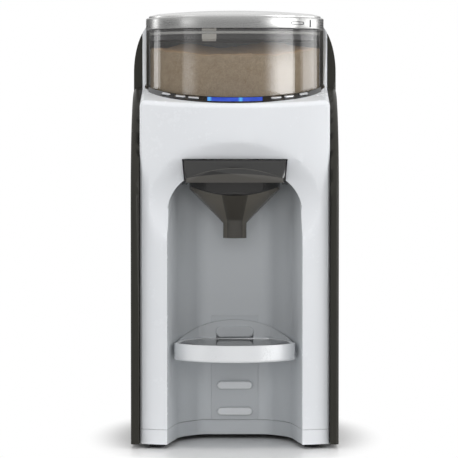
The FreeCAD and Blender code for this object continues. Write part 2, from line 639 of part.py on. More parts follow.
dome = panel_dome("panel_dome", "0")
crescent_form = crescent("crescent_form", "panel_outer", "panel_half", "axis_y")
panel_plate = common("panel_plate", dome, crescent_form,
                     deck_slab("panel_depth", "panel_thickness - panel_proud", "60"))
panel_wall = common("panel_wall", dome, crescent_form,
                    rod("panel_wall_round", "panel_inner + 1.4", axis_at(SEAT_FLOOR), "40"),
                    block("panel_wall_zone", BEYOND, ("head_front", "-72"), ("200", "400")))
window_floor = panel_dome("window_floor", "1")
part(cut("lcd_window", common("window_plate", dome, window_form("window", "0")), window_floor))
window_cut = cut("window_cut", window_form("window_gap", "0.1"), window_floor)


def panel_button(name, angle, grow, low, high, soft=0):
    """A pill set in the slope at an angle round the canister, between two heights over it."""
    bearing = math.radians(angle)
    outward = Vector(math.sin(bearing), -math.cos(bearing), 0)
    forward = now("axis_y - panel_centre_y") * math.cos(bearing)
    aside = now("axis_y - panel_centre_y") * math.sin(bearing)
    reach = forward + math.sqrt(now("panel_outer") ** 2 - aside ** 2)
    foot = Vector(0, now("axis_y"), 0) + outward * reach
    foot.z = now(f"{deck_z(foot.y)} + panel_proud")
    brow = Vector(0, now("axis_y"), 0) + outward * now("panel_inner")
    brow.z = now(f"panel_ring_z + ({brow.y} - axis_y) * tan(panel_tilt)")
    along = Vector(math.cos(bearing), math.sin(bearing), math.sin(bearing) * now("tan(panel_tilt)"))
    normal = along.cross(brow - foot)
    round_end = now(f"button_deep / 2 + {grow}")
    half = now("(button_wide - button_deep) / 2")
    bar = Part.makeBox(2 * half, 2 * round_end, high - low, Vector(-half, -round_end, low))
    ends = [Part.makeCylinder(round_end, high - low, Vector(side * half, 0, low)) for side in (-1, 1)]
    pill = bar.multiFuse(ends).removeSplitter()
    if soft:
        pill = pill.makeFillet(soft, [edge for edge in pill.Edges if edge.CenterOfMass.z > high - 0.01])
    button = doc.addObject("Part::Feature", name)
    button.Shape = pill
    button.Placement = FreeCAD.Placement((foot + brow) / 2,
                                         Rotation(along, normal.cross(along), normal, "ZXY"))
    return button


BUTTON_ANGLES = (25, 34, 46)
slots = []
for side, sign in (("left", -1), ("right", 1)):
    for number, angle in enumerate(BUTTON_ANGLES, start=1):
        slots.append(panel_button(f"slot_{side}_{number}", sign * angle, 0.3, -8, 5))
        part(panel_button(f"button_{side}_{number}", sign * angle, 0, -2.4, 1.3, 0.9))
part(cut("control_panel", fuse("panel_shell", panel_plate, panel_wall),
         rod("panel_bore", "panel_inner", axis_at("190"), "170"), window_cut, *slots))
board_form = cut("board_form", crescent("board_round", "panel_outer - 0.8", "panel_half - 6", "-66"),
                 rod("board_bore", "panel_inner + 3.2", axis_at("190"), "170"))
part(common("display_board", board_form, deck_slab("board_layer", "5.6", "1.2")))

# Funnel drawer: a frame that slides in on two rails, with the funnel and its cover
DRAWER_LOW = "funnel_rim_z"
DRAWER_TOP = f"({DRAWER_LOW} + 2.2)"


def dose_at(height="0"):
    """A point on the funnel's upright axis."""
    return ("0", "dose_y", height)


RIM_LOW = f"({DRAWER_TOP} + 0.1)"
part(turned("mixing_funnel", [("spout_radius - funnel_wall", "spout_bottom"),
                              ("spout_radius", "spout_bottom"), ("spout_radius", "cone_bottom"),
                              ("funnel_radius", "cone_top"),
                              ("funnel_radius", RIM_LOW), ("funnel_rim", RIM_LOW),
                              ("funnel_rim", f"{RIM_LOW} + 1.5"),
                              ("funnel_radius - funnel_wall", f"{RIM_LOW} + 1.5"),
                              ("funnel_radius - funnel_wall", "cone_top + 0.7"),
                              ("spout_radius - funnel_wall", "cone_bottom + 0.7")], dose_at()))
cover_disc = rod("cover_disc", "funnel_radius - funnel_wall", dose_at(RIM_LOW), "1.5")
part(cut("funnel_cover", cover_disc, rod("cover_powder_hole", "12", dose_at(f"{RIM_LOW} - 1"), "5"),
         *[rod(f"cover_water_hole_{side}", "4", (f"{sign} * nozzle_x", "dose_y", f"{RIM_LOW} - 1"), "5")
           for side, sign in (("left", -1), ("right", 1))]))
DRAWER_HALF = "(slot_half - 1)"
DOOR_FRONT = "drawer_front"
frame_plate = fuse("frame_plate",
                   block("frame_front", both_sides(f"{DRAWER_HALF} - 1.3"), (DOOR_FRONT, "dose_y"),
                         (DRAWER_LOW, DRAWER_TOP)),
                   rod("frame_round", "funnel_rim + 0.3", dose_at(DRAWER_LOW), "2.2"))
door = facade("door", [(f"1.6 - {DRAWER_HALF}", "funnel_rim_z - 1"), (f"{DRAWER_HALF} - 1.6",
                                                                    "funnel_rim_z - 1"),
                       (f"{DRAWER_HALF} - 0.2", "slot_top - 1"), (f"0.2 - {DRAWER_HALF}", "slot_top - 1")],
              DOOR_FRONT, f"{DOOR_FRONT} + 2.5")
visor_round = rod("visor_round", "visor_curve", ("0", f"{DOOR_FRONT} - 2.5", "visor_top - visor_curve"),
                  "3", "Y")
visor = common("visor", visor_round, block("visor_zone", both_sides(f"{DRAWER_HALF} - 2.4"),
                                           (f"{DOOR_FRONT} - 5", f"{DOOR_FRONT} + 1"),
                                           ("funnel_rim_z - 1", "visor_top + 1")))
part(fuse("funnel_holder", cut("frame_open", frame_plate,
                               rod("frame_hole", "funnel_radius + 0.2", dose_at(f"{DRAWER_LOW} - 5"), "20")),
          door, visor))
CHUTE_LOW = f"({RIM_LOW} + 4)"
FLANGE = f"({LINER_TOP} + 0.1)"
part(turned("powder_chute", [("10.5", CHUTE_LOW), ("13", CHUTE_LOW), ("13", FLANGE), ("17", FLANGE),
                             ("17", f"{FLANGE} + 2"), ("13", f"{FLANGE} + 2"), ("13", "seat_top - 0.1"),
                             ("10.5", "seat_top - 0.1")], dose_at()))
MANIFOLD = (f"({LINER_TOP} + 0.1)", f"({LINER_TOP} + 8)")
nozzle_parts = [block("manifold", both_sides("nozzle_x + 3"), ("dose_y + 18", "dose_y + 26"), MANIFOLD)]
for side, sign in (("left", -1), ("right", 1)):
    arm = (f"{sign} * nozzle_x - 3", f"{sign} * nozzle_x + 3")
    nozzle_parts.append(block(f"nozzle_arm_{side}", arm, ("dose_y - 3", "dose_y + 19"), MANIFOLD))
    nozzle_parts.append(rod(f"nozzle_tip_{side}", "3", (f"{sign} * nozzle_x", "dose_y", CHUTE_LOW), "14"))
part(fuse("water_nozzle", *nozzle_parts))


# Tray: a convex band with a dark top, hung on a peg by its arched back plate
def tray_form(name, inset, low, high):
    """The plan of the tray, drawn in by an inset, between two heights."""
    return common(name, rod(name + "_bow", f"tray_curve - {inset}",
                            ("0", "tray_front + tray_curve", low), f"({high}) - ({low})"),
                  bay_form(name + "_bay", f"(-tray_side_gap - {inset})", low, high),
                  block(name + "_zone", BEYOND, ("tray_front - 5", f"tray_back - {inset}"), (low, high)))


TRAY_LOW = "(tray_top - tray_height)"
tray_low_z = now(TRAY_LOW)
tray_rear_y = now("tray_back")
tray_soft = rounded("tray_soft", tray_form("tray_blank", "0", TRAY_LOW, "tray_top"), "1.8",
                    lambda at: abs(at.z - tray_low_z) < 0.1 and at.y < tray_rear_y - 1)
part(cut("tray_body", tray_soft, tray_form("tray_under", "2.5", f"{TRAY_LOW} - 1", "tray_top - 6"),
         tray_form("tray_recess", "2.2", "tray_top - 3", "tray_top + 1")))
part(tray_form("tray_insert", "2.4", "tray_top - 3", "tray_top - 0.5"))
PLATE_BACK = "(bay_back - strip_thickness - 0.4)"
WING_ZONE = ("tray_top + 0.1", "tray_arch_top + 1")
arch_round = rod("arch_round", "tray_arch_curve", ("0", "column_front", "tray_arch_top - tray_arch_curve"),
                 f"{PLATE_BACK} - column_front", "Y")
wings = cut("wings", bay_form("wing_outside", "-plate_gap", *WING_ZONE),
            bay_form("wing_inside", "(-plate_gap - wing_thickness)", "tray_top", "tray_arch_top + 2"))
backrest = common("backrest", bay_form("back_bay", "-plate_gap", TRAY_LOW, WING_ZONE[1]),
                  block("backrest_zone", BEYOND, ("tray_back", PLATE_BACK), (TRAY_LOW, WING_ZONE[1])))
back_blank = common("back_blank", fuse("back_whole", backrest, wings), arch_round)
channel = block("channel", both_sides("peg_width / 2 + 0.8"), ("tray_back - 1", "bay_back"),
                ("0", "peg_low + 3 * peg_pitch + peg_height / 2 + 0.4"))
hook_z = "peg_low + 3 * peg_pitch"
hook_bar = block("hook_bar", both_sides("peg_width / 2 - 3"), ("tray_back - 2", "tray_back"),
                 (f"{hook_z} - 3", f"{hook_z} + 5.4"))
hook_ends = [rod(f"hook_end_{side}", "4.2", (f"{sign} * (peg_width / 2 - 3)", "tray_back - 2",
                                            f"{hook_z} + 1.2"), "2", "Y")
             for side, sign in (("left", -1), ("right", 1))]
hook = rounded("hook", fuse("hook_blank", hook_bar, *hook_ends), "1",
               lambda at: at.y < now("tray_back") - 1.9)
part(fuse("tray_back_plate", cut("back_open", back_blank, channel), hook))

# Water tank: a smoky box with a neck, whose valve a pin in the seat lifts; a hinged lid closes it
TANK_DEPTH = ("tank_front", "tank_back")
TANK_MIDDLE = now("(tank_bottom + tank_top) / 2")
tank_soft = rounded("tank_soft", block("tank_bulk", both_sides("tank_half"), TANK_DEPTH,
                                       ("tank_bottom", "tank_top")), "edge_round",
                    lambda at: abs(at.x) > now("tank_half") - 0.1 and abs(at.z - TANK_MIDDLE) < 5)
tank_soft_inside = rounded("tank_soft_inside",
                           block("tank_hollow", both_sides("tank_half - tank_wall"),
                                 ("tank_front + tank_wall", "tank_back - tank_wall"),
                                 ("tank_bottom + tank_wall", "tank_top + 1")), "edge_round - tank_wall",
                           lambda at: abs(at.x) > now("tank_half - tank_wall") - 0.1
                           and abs(at.z - TANK_MIDDLE) < 5)
NECK_LOW = "(tank_bottom - 11)"
NECK_LENGTH = "12"
HINGE = ("0", "(tank_back - 1.5)", "(tank_top + 2.8)")


def knuckle(name, low, high):
    """A stretch of the tank lid's hinge barrel."""
    return rod(name, "2.4", (low, HINGE[1], HINGE[2]), f"({high}) - ({low})", "X")


def ear(name, low, high):
    """What joins a hinge barrel to the rear wall of the tank."""
    return block(name, (low, high), ("tank_back - 3", "tank_back"), ("tank_top - 1", HINGE[2]))


tank_whole = fuse("tank_whole", cut("tank_shell", tank_soft, tank_soft_inside),
                  rod("tank_neck", "10.5", valve_at(NECK_LOW), NECK_LENGTH),
                  knuckle("tank_barrel_left", "-20", "-12.3"), ear("tank_ear_left", "-20", "-12.3"),
                  knuckle("tank_barrel_right", "12.3", "20"), ear("tank_ear_right", "12.3", "20"),
                  block("valve_bridge", both_sides("10.5"), ("valve_y - 2.5", "valve_y + 2.5"),
                        ("tank_bottom + 6", "tank_bottom + 8")),
                  block("bridge_leg_left", ("-10.5", "-8.5"), ("valve_y - 2.5", "valve_y + 2.5"),
                        ("tank_bottom + 1", "tank_bottom + 7")),
                  block("bridge_leg_right", ("8.5", "10.5"), ("valve_y - 2.5", "valve_y + 2.5"),
                        ("tank_bottom + 1", "tank_bottom + 7")))
PIN_BORE = rod("pin_bore", "1.55", ("-30", HINGE[1], HINGE[2]), "60", "X")
part(cut("water_tank", tank_whole, rod("neck_bore", "8", valve_at(f"{NECK_LOW} + 2"), "13"),
         rod("neck_hole", "3.5", valve_at(f"{NECK_LOW} - 1"), "5"),
         rod("bridge_hole", "2.1", valve_at("tank_bottom"), "20"), PIN_BORE))
VALVE_LOW = f"({NECK_LOW} + 5)"
part(fuse("tank_valve", rod("valve_disc", "6.5", valve_at(VALVE_LOW), "2"),
          rod("valve_stem", "1.8", valve_at(VALVE_LOW), "16")))
spring = doc.addObject("Part::Helix", "spring_path")
bind(spring, Pitch="2", Height="9", Radius="4")
place(spring, valve_at(f"{VALVE_LOW} + 2.6"))
wire_section = doc.addObject("Part::Circle", "spring_wire")
bind(wire_section, Radius="0.4")
place(wire_section, ("4", "valve_y", f"{VALVE_LOW} + 2.6"), Rotation(Vector(1, 0, 0), 90))
coil = doc.addObject("Part::Sweep", "valve_spring")
coil.Sections = [wire_section]
coil.Spine = (spring, ["Edge1"])
coil.Solid = True
coil.Frenet = True
part(coil)
LID_LOW = "(tank_top + gap)"
lid_form = common("tank_lid_form", envelope,
                  block("tank_lid_bulk", both_sides("tank_half"), ("tank_front", "tank_back - 4.5"),
                        (LID_LOW, "tower_top")))
lid_hollow = block("tank_lid_hollow", both_sides("tank_half - 14"), ("tank_front + 3", "tank_back - 8"),
                   ("tank_top - 1", "tower_top - 3"))
lid_web = block("tank_lid_web", both_sides("12"), ("tank_back - 6", HINGE[1]),
                (f"{HINGE[2]} - 1.2", f"{HINGE[2]} + 1.2"))
part(cut("tank_lid", fuse("tank_lid_whole", cut("tank_lid_shell", lid_form, lid_hollow), lid_web,
                          knuckle("lid_barrel", "-12", "12")), PIN_BORE))
part(rod("tank_hinge_pin", "1.5", ("-20", HINGE[1], HINGE[2]), "40", "X"))

# Drive: a gear motor under a plate turns the canister's coupling through two gears
MOTOR_Y = "(axis_y + 24)"


def toothed(name, teeth, radius, bore, at):
    """A spur gear: a disc, one tooth and its polar pattern, with a round bore."""
    body = doc.addObject("PartDesign::Body", name)
    root = now(f"{radius} - 1.3")
    tip = now(f"{radius} + 0.8")
    sketch = body.newObject("Sketcher::SketchObject", name + "_disc_sketch")
    plane = next(feature for feature in body.Origin.OriginFeatures if feature.Role == "XY_Plane")
    sketch.AttachmentSupport = [(plane, "")]
    sketch.MapMode = "FlatFace"
    for index, (size, value) in enumerate(((root, f"{radius} - 1.3"), (now(bore), bore))):
        sketch.addGeometry(Part.Circle(Vector(0, 0, 0), Vector(0, 0, 1), size))
        sketch.addConstraint(Sketcher.Constraint("Coincident", index, 3, -1, 1))
        number = sketch.addConstraint(Sketcher.Constraint("Radius", index, size))
        sketch.setExpression(f"Constraints[{number}]", formula(value))
    disc = body.newObject("PartDesign::Pad", name + "_disc")
    disc.Profile = sketch
    bind(disc, Length="gear_thickness")
    foot_half = "0.95"
    top_half = "0.35"
    outline = section(body, "XY_Plane", [(f"{radius} - 1.8", f"-{foot_half}"),
                                         (f"{radius} + 0.8", f"-{top_half}"),
                                         (f"{radius} + 0.8", top_half), (f"{radius} - 1.8", foot_half)])
    tooth = body.newObject("PartDesign::Pad", name + "_tooth")
    tooth.Profile = outline
    bind(tooth, Length="gear_thickness")
    doc.recompute()
    ring = body.newObject("PartDesign::PolarPattern", name + "_teeth")
    ring.Originals = [tooth]
    ring.Axis = (sketch, ["N_Axis"])
    ring.Angle = 360
    ring.Occurrences = teeth
    body.Tip = ring
    place(body, at)
    return body


part(toothed("drive_gear", 42, "gear_radius", "4", axis_at("gear_z")))
pinion_gear = toothed("pinion_gear", 22, "pinion_radius", "1", ("motor_x", MOTOR_Y,"gear_z"))
part(fuse("motor_pinion", pinion_gear, rod("motor_shaft", "1.5", ("motor_x", MOTOR_Y,"gear_plate_z - 4"),
                                           "12")))
hexagon = doc.addObject("Part::Prism", "shaft_hexagon")
hexagon.Polygon = 6
bind(hexagon, Circumradius="5.2", Height="13")
place(hexagon, axis_at("seat_top - 1"))
part(fuse("drive_shaft", rod("shaft_round", "4", axis_at("gear_plate_z - 5"),
                             "seat_top - gear_plate_z + 5"), hexagon))
part(cut("shaft_bush", fuse("bush_whole", rod("bush_body", "6", axis_at("gear_plate_z - 3"), "8"),
                            rod("bush_flange", "8", axis_at("gear_plate_z + 2.5"), "1.5")),
         rod("bush_bore", "4.05", axis_at("gear_plate_z - 4"), "12")))
posts = [rod(f"post_{number}", "4", (f"{side} * 60", str(y), "gear_plate_z"),
             f"{SEAT_FLOOR} - wall - gear_plate_z")
         for number, (side, y) in enumerate([(side, y) for y in (-40, 44) for side in (-1, 1)], start=1)]
plate_bulk = block("gear_plate_bulk", both_sides("66"), (BODY_FRONT, "tower_back - wall - 5"),
                   ("gear_plate_z", "gear_plate_z + 2.5"))
part(cut("gear_plate", fuse("gear_plate_whole", plate_bulk, *posts),
         rod("plate_bush_hole", "6", axis_at("gear_plate_z - 1"), "5"),
         rod("plate_shaft_hole", "2.5", ("motor_x", MOTOR_Y,"gear_plate_z - 1"), "5")))
part(cut("gear_motor", rod("motor_can", "motor_radius", ("motor_x", MOTOR_Y,"gear_plate_z - motor_height"),
                           "motor_height"),
         rod("motor_shaft_hole", "2", ("motor_x", MOTOR_Y,"gear_plate_z - 5"), "6")))

# Water path: flow sensor under the seat, pump, heater on a foot, and three hoses
PLATE_TOP = "(cover_foot + plate_thickness)"
SENSOR_LOW = "(seat_plate_top - 14 - 17)"
SENSOR_PORT = f"({SENSOR_LOW} + 8)"
PORT_RADIUS = "4"
part(fuse("flow_sensor", rod("sensor_body", "10", valve_at(SENSOR_LOW), "17"),
          rod("sensor_spout", PORT_RADIUS, ("-18", "valve_y", SENSOR_PORT), "10", "X")))
PUMP_HEAD = f"({PLATE_TOP} + 30)"
PUMP_INLET_TOP = f"({PUMP_HEAD} + 18)"
part(fuse("pump", block("pump_foot", ("service_x - 18", "service_x + 18"),
                        ("valve_y - 18", "valve_y + 18"), (PLATE_TOP, f"{PLATE_TOP} + 4")),
          rod("pump_can", "15", ("service_x", "valve_y", f"{PLATE_TOP} + 3"), "28"),
          rod("pump_head", "17", ("service_x", "valve_y", PUMP_HEAD), "14"),
          rod("pump_inlet", PORT_RADIUS, ("service_x", "valve_y", f"{PUMP_INLET_TOP} - 6"), "6"),
          rod("pump_outlet", PORT_RADIUS, ("service_x", "valve_y - 22", "cold_hose_z"), "8", "Y")))
HEATER_LOW = "68"
HEATER_TOP = "178"


def heater_at(height):
    """A point on the heater's upright axis."""
    return ("service_x", "heater_y", height)


part(fuse("heater", rod("heater_can", "17", heater_at(HEATER_LOW), f"{HEATER_TOP} - {HEATER_LOW}"),
          block("heater_foot", ("service_x + 6", "service_x + 14"), ("heater_y - 10", "heater_y + 10"),
                (PLATE_TOP, f"{HEATER_LOW} + 1")),
          rod("heater_inlet", PORT_RADIUS, heater_at(f"{HEATER_LOW} - 8"), "9"),
          rod("heater_outlet", PORT_RADIUS, heater_at(f"{HEATER_TOP} - 1"), "8")))


def hose(name, bend, points):
    """A hose along straight runs, joined by arcs of one bend radius."""
    route = [Vector(*[now(value) for value in point]) for point in points]
    edges = []
    start = route[0]
    for before, corner, after in zip(route, route[1:], route[2:]):
        into = (corner - before).normalize()
        onward = (after - corner).normalize()
        turn = into.getAngle(onward)
        reach = bend * math.tan(turn / 2)
        first = corner - into * reach
        last = corner + onward * reach
        middle = corner + (onward - into).normalize() * bend * (1 / math.cos(turn / 2) - 1)
        edges.append(Part.LineSegment(start, first).toShape())
        edges.append(Part.Arc(first, middle, last).toShape())
        start = last
    edges.append(Part.LineSegment(start, route[-1]).toShape())
    ring = Part.Circle(route[0], route[1] - route[0], now("hose_radius")).toShape()
    solid = doc.addObject("Part::Feature", name)
    solid.Shape = Part.Wire(edges).makePipeShell([Part.Wire(ring)], True, False)
    return solid


HOSE_TOP = f"({LINER_TOP} + 4.1)"
hoses = doc.addObject("Part::Compound", "water_hoses")
hoses.Links = [
    hose("suction_hose", 9, [("-18", "valve_y", SENSOR_PORT), ("service_x", "valve_y", SENSOR_PORT),
                             ("service_x", "valve_y", PUMP_INLET_TOP)]),
    hose("cold_hose", 10, [("service_x", "valve_y - 22", "cold_hose_z"),
                           heater_at("cold_hose_z"), heater_at(f"{HEATER_LOW} - 8")]),
    hose("hot_hose", 15, [heater_at(f"{HEATER_TOP} + 7"), heater_at(HOSE_TOP),
                          ("-nozzle_x", "heater_y - 26", HOSE_TOP), ("-nozzle_x", "dose_y + 26", HOSE_TOP)]),
]
part(hoses)

# Electronics: a power supply on the base plate and the main board on the tower's back wall
part(fuse("power_supply", block("supply_board", ("14", "66"), ("24", "26"), (PLATE_TOP, "100")),
          block("supply_coil", ("20", "42"), ("25.9", "46"), ("30", "54")),
          rod("supply_can_1", "6", ("54", "25.9", "40"), "20", "Y"),
          rod("supply_can_2", "6", ("54", "25.9", "60"), "20", "Y"),
          block("supply_relay", ("22", "40"), ("25.9", "40"), ("66", "80"))))
BOARD_FRONT = "(tower_back - wall - 8)"
board_feet = [rod(f"board_foot_{number}", "2.5", (x, f"{BOARD_FRONT} + 1.5", z), "6.5", "Y")
              for number, (x, z) in enumerate([("0", "126"), ("0", "184"), ("56", "126"), ("56", "184")],
                                              start=1)]
part(fuse("main_board", block("board_sheet", ("-5", "61"), (BOARD_FRONT, f"{BOARD_FRONT} + 1.6"),
                              ("120", "190")),
          block("board_chip", ("20", "34"), (f"{BOARD_FRONT} - 2", f"{BOARD_FRONT} + 0.1"),
                ("150", "164")),
          block("board_plug_1", ("2", "18"), (f"{BOARD_FRONT} - 7", f"{BOARD_FRONT} + 0.1"),
                ("126", "132")),
          block("board_plug_2", ("38", "54"), (f"{BOARD_FRONT} - 7", f"{BOARD_FRONT} + 0.1"),
                ("176", "182")), *board_feet))


# Every object must be sound before anything is written
doc.recompute()
for thing in doc.Objects:
    if "Invalid" in thing.State or "Error" in thing.State:
        raise RuntimeError(f"{thing.Name} failed: {thing.State}")
for piece in PARTS:
    if piece.Shape.isNull() or not piece.Shape.isValid() or not piece.Shape.Solids:
        raise RuntimeError(f"{piece.Label} has no sound solid")
os.makedirs("parts", exist_ok=True)
for piece in PARTS:
    piece.Shape.exportStep(f"parts/{piece.Label}.step")
print(f"{len(PARTS)} sub-parts written")
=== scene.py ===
import json
import math

import bmesh
import bpy
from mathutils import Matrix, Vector


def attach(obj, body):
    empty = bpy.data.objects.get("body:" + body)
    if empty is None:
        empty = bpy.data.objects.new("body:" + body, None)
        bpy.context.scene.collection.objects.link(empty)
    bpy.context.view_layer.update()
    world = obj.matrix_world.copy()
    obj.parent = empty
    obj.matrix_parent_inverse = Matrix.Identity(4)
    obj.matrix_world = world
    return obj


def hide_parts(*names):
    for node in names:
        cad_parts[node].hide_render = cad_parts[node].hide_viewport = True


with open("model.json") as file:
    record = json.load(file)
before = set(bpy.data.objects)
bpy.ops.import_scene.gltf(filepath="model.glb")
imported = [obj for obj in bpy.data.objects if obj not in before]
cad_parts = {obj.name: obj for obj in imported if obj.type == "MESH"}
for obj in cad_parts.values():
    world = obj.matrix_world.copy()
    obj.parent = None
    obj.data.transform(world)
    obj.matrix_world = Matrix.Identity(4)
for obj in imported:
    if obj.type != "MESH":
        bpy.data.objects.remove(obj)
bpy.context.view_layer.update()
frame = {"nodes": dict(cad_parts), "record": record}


# Worktop: a pale seamless sweep of paper that fades to white round the machine.  The machine's shadow
# and a faint mirror image stay on it, and its tooth is drawn coarser than real, so that it can show.
def linear(colour):
    """An sRGB hex colour as linear red, green, blue and alpha."""
    steps = [int(colour[at:at + 2], 16) / 255 for at in (1, 3, 5)]
    return (*[s / 12.92 if s <= 0.04045 else ((s + 0.055) / 1.055) ** 2.4 for s in steps], 1.0)


def add(tree, kind, inputs=None, **settings):
    """A node with its settings, and its inputs set or linked."""
    made = tree.nodes.new(kind)
    for name, value in settings.items():
        setattr(made, name, value)
    for name, value in (inputs or {}).items():
        if isinstance(value, bpy.types.NodeSocket):
            tree.links.new(value, made.inputs[name])
        else:
            made.inputs[name].default_value = value
    return made


def blank(name):
    """A material with an empty tree."""
    material = bpy.data.materials.new(name)
    material.use_nodes = True
    material.node_tree.nodes.clear()
    return material


def looked_at(tree):
    """Lit for rays from the camera, straight or through a clear wall."""
    rays = add(tree, "ShaderNodeLightPath").outputs
    return add(tree, "ShaderNodeMath", {0: rays["Is Camera Ray"], 1: rays["Is Transmission Ray"]},
               operation="MAXIMUM").outputs["Value"]


MM = 0.001
SWEEP_WIDE = 8
SWEEP_MIDDLE = (0, -0.02, 0)
SWEEP_REACH = (0.1, 0.19)
SWEEP_FADE = (0.78, 1.2)
SWEEP_BOUNCE = 0.55
TOOTH_PER_METRE, TOOTH_DEEP = 900.0, 0.02
sweep_paper = blank("studio_paper")
tree = sweep_paper.node_tree
place = add(tree, "ShaderNodeTexCoord").outputs["Object"]
spread = add(tree, "ShaderNodeVectorMath", {0: place, 1: SWEEP_MIDDLE},
             operation="SUBTRACT").outputs["Vector"]
spread = add(tree, "ShaderNodeVectorMath", {0: spread, 1: (1 / SWEEP_REACH[0], 1 / SWEEP_REACH[1], 0)},
             operation="MULTIPLY").outputs["Vector"]
spread = add(tree, "ShaderNodeVectorMath", {0: spread}, operation="LENGTH").outputs["Value"]
fade = add(tree, "ShaderNodeMapRange", {"Value": spread, "From Min": SWEEP_FADE[0],
                                        "From Max": SWEEP_FADE[1]},
           interpolation_type="SMOOTHSTEP").outputs["Result"]
tooth = add(tree, "ShaderNodeTexNoise", {"Vector": place, "Scale": TOOTH_PER_METRE,
                                         "Detail": 2.0}).outputs["Fac"]
paper_relief = add(tree, "ShaderNodeBump", {"Height": tooth, "Distance": TOOTH_DEEP * MM}).outputs["Normal"]
paper = add(tree, "ShaderNodeBsdfPrincipled", {"Base Color": linear("#f4f4f4"), "Roughness": 0.3,
                                               "Specular IOR Level": 0.6, "Normal": paper_relief})
glow_level = add(tree, "ShaderNodeMapRange", {"Value": looked_at(tree), "To Min": SWEEP_BOUNCE,
                                              "To Max": 1.0}).outputs["Result"]
glow = add(tree, "ShaderNodeEmission", {"Color": linear("#ffffff"), "Strength": glow_level})
sweep_mix = add(tree, "ShaderNodeMixShader", {0: fade, 1: paper.outputs["BSDF"],
                                              2: glow.outputs["Emission"]})
add(tree, "ShaderNodeOutputMaterial", {"Surface": sweep_mix.outputs["Shader"]})
bpy.ops.object.select_all(action="DESELECT")
bpy.ops.mesh.primitive_plane_add(size=SWEEP_WIDE)
sweep = bpy.context.object
sweep.name = "worktop_sweep"
sweep.data.materials.append(sweep_paper)

# Room: white where it is looked at.  Its reflection is a dim studio, darker behind the machine, with
# a pale ceiling and bright cards.  A card has its two bearings in degrees from the front, the widths
# of its soft edges, and its level.
room = bpy.data.worlds.new("studio_room")
bpy.context.scene.world = room
room.use_nodes = True
tree = room.node_tree
tree.nodes.clear()
ROOM_FILL = 0.42
CARDS = ((-129, -121, 2, 2, 3.6), (-71, -64, 1.5, 18, 1.6), (64, 84, 28, 1, 7.0), (101, 131, 3, 5, 3.0))
DIM_BEHIND, DIM_FRONT, DIM_TURN = 0.1, 0.48, (-0.9, 0.8)
CEILING, CEILING_EDGE = 0.95, (0.05, 0.22)
look = add(tree, "ShaderNodeTexCoord").outputs["Generated"]
aim = add(tree, "ShaderNodeSeparateXYZ", {"Vector": look}).outputs
ahead = add(tree, "ShaderNodeMath", {0: aim["Y"], 1: -1.0}, operation="MULTIPLY").outputs[0]
turn = add(tree, "ShaderNodeMath", {0: aim["X"], 1: ahead}, operation="ARCTAN2").outputs[0]
turn = add(tree, "ShaderNodeMath", {0: turn}, operation="DEGREES").outputs[0]
shine = add(tree, "ShaderNodeMapRange", {"Value": ahead, "From Min": DIM_TURN[0], "From Max": DIM_TURN[1],
                                         "To Min": DIM_BEHIND, "To Max": DIM_FRONT}).outputs["Result"]
for start, end, soft_start, soft_end, level in CARDS:
    rise = add(tree, "ShaderNodeMapRange", {"Value": turn, "From Min": start - soft_start,
                                            "From Max": start}, interpolation_type="SMOOTHSTEP")
    fall = add(tree, "ShaderNodeMapRange", {"Value": turn, "From Min": end, "From Max": end + soft_end,
                                            "To Min": level, "To Max": 0.0},
               interpolation_type="SMOOTHSTEP")
    shine = add(tree, "ShaderNodeMath", {0: rise.outputs["Result"], 1: fall.outputs["Result"], 2: shine},
                operation="MULTIPLY_ADD").outputs[0]
overhead = add(tree, "ShaderNodeMapRange", {"Value": aim["Z"], "From Min": CEILING_EDGE[0],
                                            "From Max": CEILING_EDGE[1]},
               interpolation_type="SMOOTHSTEP").outputs["Result"]
shine = add(tree, "ShaderNodeMix", {0: overhead, 2: shine, 3: CEILING}).outputs[0]
room_level = add(tree, "ShaderNodeMapRange", {"Value": looked_at(tree), "To Min": ROOM_FILL,
                                              "To Max": 1.0}).outputs["Result"]
mirrored = add(tree, "ShaderNodeLightPath").outputs["Is Glossy Ray"]
room_level = add(tree, "ShaderNodeMix", {0: mirrored, 2: room_level, 3: shine}).outputs[0]
backdrop = add(tree, "ShaderNodeBackground", {"Color": linear("#ffffff"), "Strength": room_level})
add(tree, "ShaderNodeOutputWorld", {"Surface": backdrop.outputs["Background"]})
bpy.context.scene.view_settings.view_transform = "Standard"

# Lamps: two large softboxes beside the machine, a soft one overhead, and a large one in front that
# reaches into the bay.  Each has its bearing, height, distance, width, height of frame, and watts.
AIM = Vector((0, 0, 0.19))
for name, bearing, height, reach, wide, tall, watts in (
        ("softbox_right", 66, 0.35, 1.1, 0.72, 1.1, 4.2),
        ("softbox_left", -66, 0.35, 1.1, 0.72, 1.1, 3.2),
        ("front_box", 0, 0.3, 1.7, 1.2, 0.9, 7.5),
        ("overhead_box", 20, 1.4, 0.25, 0.8, 0.8, 6.0)):
    lamp = bpy.data.lights.new(name, "AREA")
    lamp.shape = "RECTANGLE"
    lamp.size = wide
    lamp.size_y = tall
    lamp.energy = watts
    stand = bpy.data.objects.new(name, lamp)
    stand.visible_glossy = False
    bpy.context.scene.collection.objects.link(stand)
    turn = math.radians(bearing)
    stand.location = (reach * math.sin(turn), -reach * math.cos(turn), height)
    stand.rotation_euler = (AIM - stand.location).to_track_quat("-Z", "Y").to_euler()

